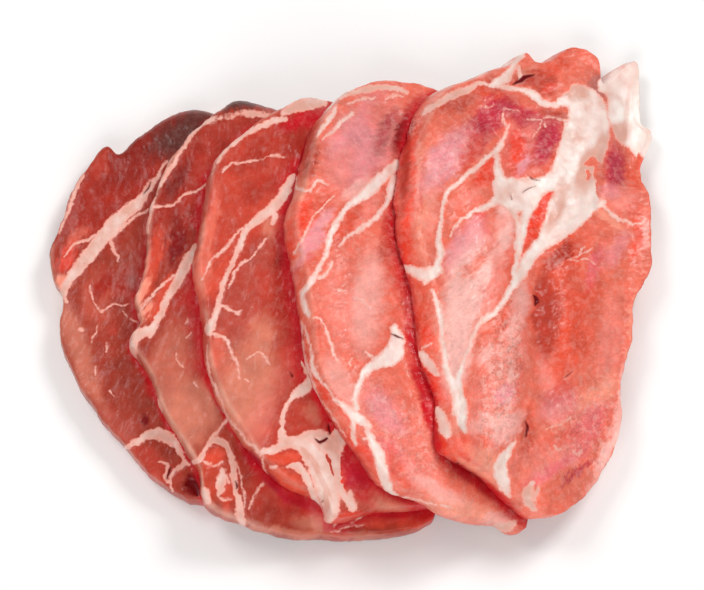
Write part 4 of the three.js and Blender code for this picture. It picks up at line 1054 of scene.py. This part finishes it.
# %% [markdown]
# ## Building the five meshes
# Each point gets its place and what the material reads there: the colour of the lean, the depth
# into fat and into a cut, the pinkness of the fat, how grainy it is, and its place along the
# fibres.

# %% Meshes
GRAIN_LENGTH, GRAIN_WIDTH = 3.6, 0.9  # mm, of the bundles of fibres that show on a cut face
SIDE_TURN, SLICE_TURN = 2, 7  # steps of the noise down a side, and from slice to slice
SEAM_WAVER, CUT_WAVER = 1.3, 0.6  # pixels
ISLAND_WAVER, ISLAND_WAVER_SIZE = 2, 9  # pixels
FIELDS = {"FLOAT": "value", "FLOAT_VECTOR": "vector", "FLOAT_COLOR": "color"}


def attribute(mesh, name, kind, values):
    """Values for each point, under a name that the material can read."""
    values = np.ascontiguousarray(values, np.float32).ravel()
    mesh.attributes.new(name, kind, "POINT").data.foreach_set(FIELDS[kind], values)


def fat_depth(name, plan_x, y, rise, u, v):
    """Depth into fat: its seams, less the islands of lean, and the skin."""
    fat = np.minimum(depth_into(SEAMS[name], u, v, SEAM_WAVER), FAT_DEPTH)
    waver = ISLAND_WAVER * rough(u, v, ISLAND_WAVER_SIZE, layer=6)
    for place in ISLANDS.get(name, []):
        share = oval(u + waver, v + waver, *place)
        fat = fat * (1 - share) - ISLAND_DEPTH * share
    return np.maximum(fat, skin_depth(name, plan_x, y, rise))


def mesh_of(name, places, quads, fan):
    """A smooth mesh of squares and triangles through places in metres."""
    mesh = bpy.data.meshes.new(name)
    mesh.vertices.add(len(places))
    mesh.vertices.foreach_set("co", places.ravel().astype(np.float32))
    corners = np.concatenate([quads.ravel(), fan.ravel()])
    sizes = np.repeat([4, 3], [len(quads), len(fan)])
    mesh.loops.add(len(corners))
    mesh.loops.foreach_set("vertex_index", corners.astype(np.int32))
    mesh.polygons.add(len(sizes))
    mesh.polygons.foreach_set("loop_start", (np.cumsum(sizes) - sizes).astype(np.int32))
    mesh.polygons.foreach_set("use_smooth", np.ones(len(sizes), bool))
    mesh.update(calc_edges=True)
    mesh.validate()
    return mesh


def build_slice(name):
    """A slice's piece: the plan points shifted by the lean, laid on the underside and raised by
    their share of the thickness and the relief, which fades down the side."""
    plan_x, y, rise, quads, fan = slice_points(name)
    x = plan_x + SLICES[name]["lean"] * rise
    height = underside(name, x, y) + THICK * rise
    u, v = in_photo(x, y, height)
    fat = fat_depth(name, plan_x, y, rise, u, v)
    cut = depth_into(CUTS[name], u, v, CUT_WAVER)
    height = height + relief(name, u, v, fat, cut) * rise**3
    mesh = mesh_of("pork_" + name, np.stack([x, y, height], -1) * MM, quads, fan)

    along, across = fibre_rows(name, u, v)
    turn = SIDE_TURN * rise + SLICE_TURN * NAMES.index(name)
    rows = np.column_stack([along / GRAIN_LENGTH, across / GRAIN_WIDTH, turn])
    lean = np.column_stack([lean_colour(name, x, y, rise, u, v), np.ones(len(x))])
    attribute(mesh, "lean", "FLOAT_COLOR", lean)
    attribute(mesh, "rows", "FLOAT_VECTOR", rows)
    for key, values in (("fat", fat), ("cut", cut), ("veil", veil_share(name, u, v)),
                        ("grain", grain_share(name, u, v))):
        attribute(mesh, key, "FLOAT", values)
    piece = bpy.data.objects.new(mesh.name, mesh)
    bpy.context.collection.objects.link(piece)
    print(piece.name, len(mesh.vertices), "points,", len(mesh.polygons), "faces")
    return piece


pieces = {name: build_slice(name) for name in NAMES}

# %% [markdown]
# ## Raw pork
# Moist raw meat is a clear red gel over fibres: light goes in a little way and comes out red, and
# the wet film on top gives a soft, broken shine. Fat is denser, paler and a little duller. One
# material holds both, because on the real thing they are one piece: a noise frays the edge where
# the depth into fat crosses zero. In the lean, noises along the fibres and over them make the
# tone swing, and pale threads, curls and a mottling lie over it, as the fine marbling does.

# %% A node, and a colour


def linear(code):
    """An sRGB hex colour as the linear values that a shader uses."""
    return (*linear_values(code).tolist(), 1.0)


def add(tree, kind, inputs=(), output=0, **settings):
    """One node with its settings. Its inputs, in the node's order or under their identifiers, are
    values to set or other nodes' outputs to link. It gives back one of the node's outputs."""
    made = tree.nodes.new("ShaderNode" + kind)
    for key, value in settings.items():
        setattr(made, key, value)
    sockets = {socket.identifier: socket for socket in made.inputs}
    if not isinstance(inputs, dict):
        inputs = dict(zip(sockets, inputs))
    for key, value in inputs.items():
        if isinstance(value, bpy.types.NodeSocket):
            tree.links.new(value, sockets[key])
        else:
            sockets[key].default_value = value
    outputs = {socket.identifier: socket for socket in made.outputs}
    return outputs[output] if output else made.outputs[0]


print("a tone for a shader:", linear(TONES["salmon"]))

# %% Finish of the meat
FRESH_FAT, DULL_FAT, FAT_EDGE = "#f8ebe4", "#dba595", "#f0a898"
# CUT_SHADE is painted shade inside the cuts
THREAD, CUT_SHADE = "#f8c4b8", "#6a0208"
ATTRIBUTES = {
    "lean": "Color", "rows": "Vector", "fat": "Fac", "cut": "Fac", "veil": "Fac", "grain": "Fac",
}
ROW_NOISES = {"rows": (1.0, 1.5), "bundles": (2.6, 1.0), "threads": (1.7, 2.0)}  # in rows; detail
PLACE_NOISES = {  # size in mm, and detail
    "curls": (1.6, 2.0), "mottle": (2.4, 2.0), "pebbles": (0.9, 2.0), "clouds": (6.0, 3.0),
    "fray": (1.1, 3.0), "film": (0.5, 1.0),
}
NOISE_RANGE = 0.3, 0.7  # nearly all values of a noise lie between
SWINGS = {"rows": 0.07, "bundles": 0.08, "pebbles": 0.12, "clouds": 0.12}  # of brightness
LINE_MIDDLE, LINE_HALF = 0.5, 0.035  # a pale line is where its noise is this near the middle
MOTTLE_RANGE = 0.47, 0.64  # of its noise, from no mottling to the full one
PALE_SHARES = {"threads": 0.1, "curls": 0.14, "mottle": 0.32}
FRAYING, STAINING = 0.25, 0.25  # mm at the edge of fat, and share of its pinkness
EDGE_SHARE, EDGE_WIDTH = 0.75, 1.3  # pinkness of the edge of fat, and mm inwards
FAT_RANGE, CUT_RANGE = (-0.4, 0.35), (-0.25, 0.35)  # mm deep, over which each begins
ROW_RELIEF, FINE_RELIEF = 0.06, {"pebbles": 0.09, "film": 0.05}  # mm
RELIEF_STRENGTH = 0.8
LEAN_ROUGHNESS, FAT_ROUGHNESS = 0.36, 0.45
MOIST = {  # raw meat under a wet film, with light that goes in a little way
    "IOR": 1.38, "Specular IOR Level": 0.12, "Subsurface Weight": 0.25, "Subsurface Scale": 1.0,
    "Subsurface Radius": (2.5 * MM, 1 * MM, 0.7 * MM),
    "Coat Weight": 0.35, "Coat Roughness": 0.14, "Coat IOR": 1.35,
}
print("noises:", *ROW_NOISES, *PLACE_NOISES)

# %% The material, from the lean up to the wet film


def raw_pork():
    """Raw pork, cut with a knife and moist. The rows of fibres are 0.9 mm apart and their bundles
    2.3 mm, the pebbled ends of the fibres are 0.9 mm across, the curls of fine fat 1.6 mm, the
    mottling 2.4 mm and the cloudy patches 6 mm."""
    material = bpy.data.materials.new("raw pork, moist cut")
    material.use_nodes = True
    tree = material.node_tree
    tree.nodes.clear()
    place = add(tree, "TexCoord", output="Object")
    read = {
        name: add(tree, "Attribute", output=output, attribute_name=name)
        for name, output in ATTRIBUTES.items()}
    noise = {}
    for noises, vector, unit in ((ROW_NOISES, read["rows"], 1), (PLACE_NOISES, place, MM)):
        for name, (size, detail) in noises.items():
            noise[name] = add(tree, "TexNoise", {
                "Vector": vector, "Scale": 1 / (size * unit), "Detail": detail, "Roughness": 0.5},
                output="Fac")

    # Lean: noises brighten and darken the tone, and all but the clouds only where it is grainy
    brightness = 1.0
    for name, most in SWINGS.items():
        swing = add(tree, "MapRange", (noise[name], *NOISE_RANGE, -most, most))
        if name != "clouds":
            swing = add(tree, "Math", (swing, read["grain"]), operation="MULTIPLY")
        brightness = add(tree, "Math", (swing, brightness), operation="ADD")
    colour = add(tree, "VectorMath", {"Vector": read["lean"], "Scale": brightness}, operation="SCALE")

    # Pale threads and curls, which are thin lines, and a soft mottling
    layers = []
    for name, share in PALE_SHARES.items():
        if name == "mottle":
            pale = add(tree, "MapRange", (noise[name], *MOTTLE_RANGE), interpolation_type="SMOOTHSTEP")
        else:
            pale = add(tree, "Math", (noise[name], LINE_MIDDLE, LINE_HALF), operation="COMPARE")
        grainy = add(tree, "Math", (read["grain"], share), operation="MULTIPLY")
        layers.append((linear(THREAD), add(tree, "Math", (pale, grainy), operation="MULTIPLY")))

    # Fat: pinker and duller where the veil says so, and at its soft edge
    fray = add(tree, "MapRange", (noise["fray"], *NOISE_RANGE, -FRAYING, FRAYING))
    edge = add(tree, "Math", (read["fat"], fray), operation="ADD")
    stain = add(tree, "MapRange", (noise["clouds"], *NOISE_RANGE, -STAINING, STAINING))
    veil = add(tree, "Math", (read["veil"], stain), operation="ADD", use_clamp=True)
    rim = add(tree, "MapRange", (edge, 0.0, EDGE_WIDTH, EDGE_SHARE, 0.0), interpolation_type="SMOOTHSTEP")
    white = linear(FRESH_FAT)
    for over, share in ((linear(DULL_FAT), veil), (linear(FAT_EDGE), rim)):
        white = add(tree, "Mix", {"Factor_Float": share, "A_Color": white, "B_Color": over},
                    output="Result_Color", data_type="RGBA")

    # The pale lines over the lean, the fat over both, and the painted shade of the cuts over all
    fatness = add(tree, "MapRange", (edge, *FAT_RANGE), interpolation_type="SMOOTHSTEP")
    cut_shade = add(tree, "MapRange", (read["cut"], *CUT_RANGE), interpolation_type="SMOOTHSTEP")
    for over, share in (*layers, (white, fatness), (linear(CUT_SHADE), cut_shade)):
        colour = add(tree, "Mix", {"Factor_Float": share, "A_Color": colour, "B_Color": over},
                     output="Result_Color", data_type="RGBA")

    # Relief too fine for the mesh
    height = add(tree, "Math", (read["grain"], ROW_RELIEF), operation="MULTIPLY")
    height = add(tree, "Math", (noise["rows"], height), operation="MULTIPLY")
    for name, tall in FINE_RELIEF.items():
        height = add(tree, "Math", (noise[name], tall, height), operation="MULTIPLY_ADD")
    bump = add(tree, "Bump", {"Height": height, "Strength": RELIEF_STRENGTH, "Distance": MM})
    roughness = add(tree, "MapRange", (fatness, 0.0, 1.0, LEAN_ROUGHNESS, FAT_ROUGHNESS))
    shader = add(tree, "BsdfPrincipled", {
        "Base Color": colour, "Roughness": roughness, "Normal": bump, "Coat Normal": bump, **MOIST})
    out = tree.nodes.new("ShaderNodeOutputMaterial")
    tree.links.new(shader, out.inputs["Surface"])
    return material


pork = raw_pork()
print(pork.name, len(pork.node_tree.nodes), "nodes")

# %% Each piece rides on the one body and stands for its own solid
for name, piece in pieces.items():
    piece.data.materials.append(pork)
    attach(piece, "root")
    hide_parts(name)
print(len(pieces), "pieces in place")

# %% [markdown]
# ## Board and light
# The row lies on a plain white surface in bright, even light. A large soft light stands to the
# right and behind, so the raised left edges throw their soft shadows on the slice below.

# %% Floor and lights
FLOOR, FLOOR_ROUGHNESS, FLOOR_HALF = "#f6f5f4", 0.9, 1.0  # and metres
LIT_PLACE = (0, 0, 0.02)  # metres
LIGHTS = {  # place and size in metres, power in watts
    "key": ((0.42, 0.4, 0.74), 0.28, 3.7),
    "window": ((-0.42, 0.3, 0.82), 0.34, 2.6),
    "front": ((-0.12, -0.72, 0.6), 0.6, 4.4),
}
ROOM, ROOM_LIGHT = "#ffffff", 0.32


def area_light(name, at, size, power):
    """A square soft light at a place, pointing at the row."""
    data = bpy.data.lights.new(name, "AREA")
    data.size, data.energy = size, power
    made = bpy.data.objects.new(name, data)
    bpy.context.collection.objects.link(made)
    made.location = at
    made.rotation_euler = (Vector(LIT_PLACE) - Vector(at)).to_track_quat("-Z", "Y").to_euler()


def plain_floor():
    """A pale square floor, level with the underside of the lowest slice."""
    mesh = bpy.data.meshes.new("floor")
    corners = [(FLOOR_HALF * x, FLOOR_HALF * y, 0) for x, y in ((-1, -1), (1, -1), (1, 1), (-1, 1))]
    mesh.from_pydata(corners, [], [(0, 1, 2, 3)])
    made = bpy.data.objects.new("floor", mesh)
    bpy.context.collection.objects.link(made)
    paint = bpy.data.materials.new("matt white board")
    paint.use_nodes = True
    shader = paint.node_tree.nodes["Principled BSDF"]
    shader.inputs["Base Color"].default_value = linear(FLOOR)
    shader.inputs["Roughness"].default_value = FLOOR_ROUGHNESS
    mesh.materials.append(paint)


plain_floor()
for name, (at, size, power) in LIGHTS.items():
    area_light(name, at, size, power)
world = bpy.data.worlds.new("soft white room")
bpy.context.scene.world = world
world.use_nodes = True
sky = world.node_tree.nodes["Background"]
sky.inputs["Color"].default_value = linear(ROOM)
sky.inputs["Strength"].default_value = ROOM_LIGHT
bpy.context.scene.view_settings.view_transform = "Standard"
print(len(LIGHTS), "lights")
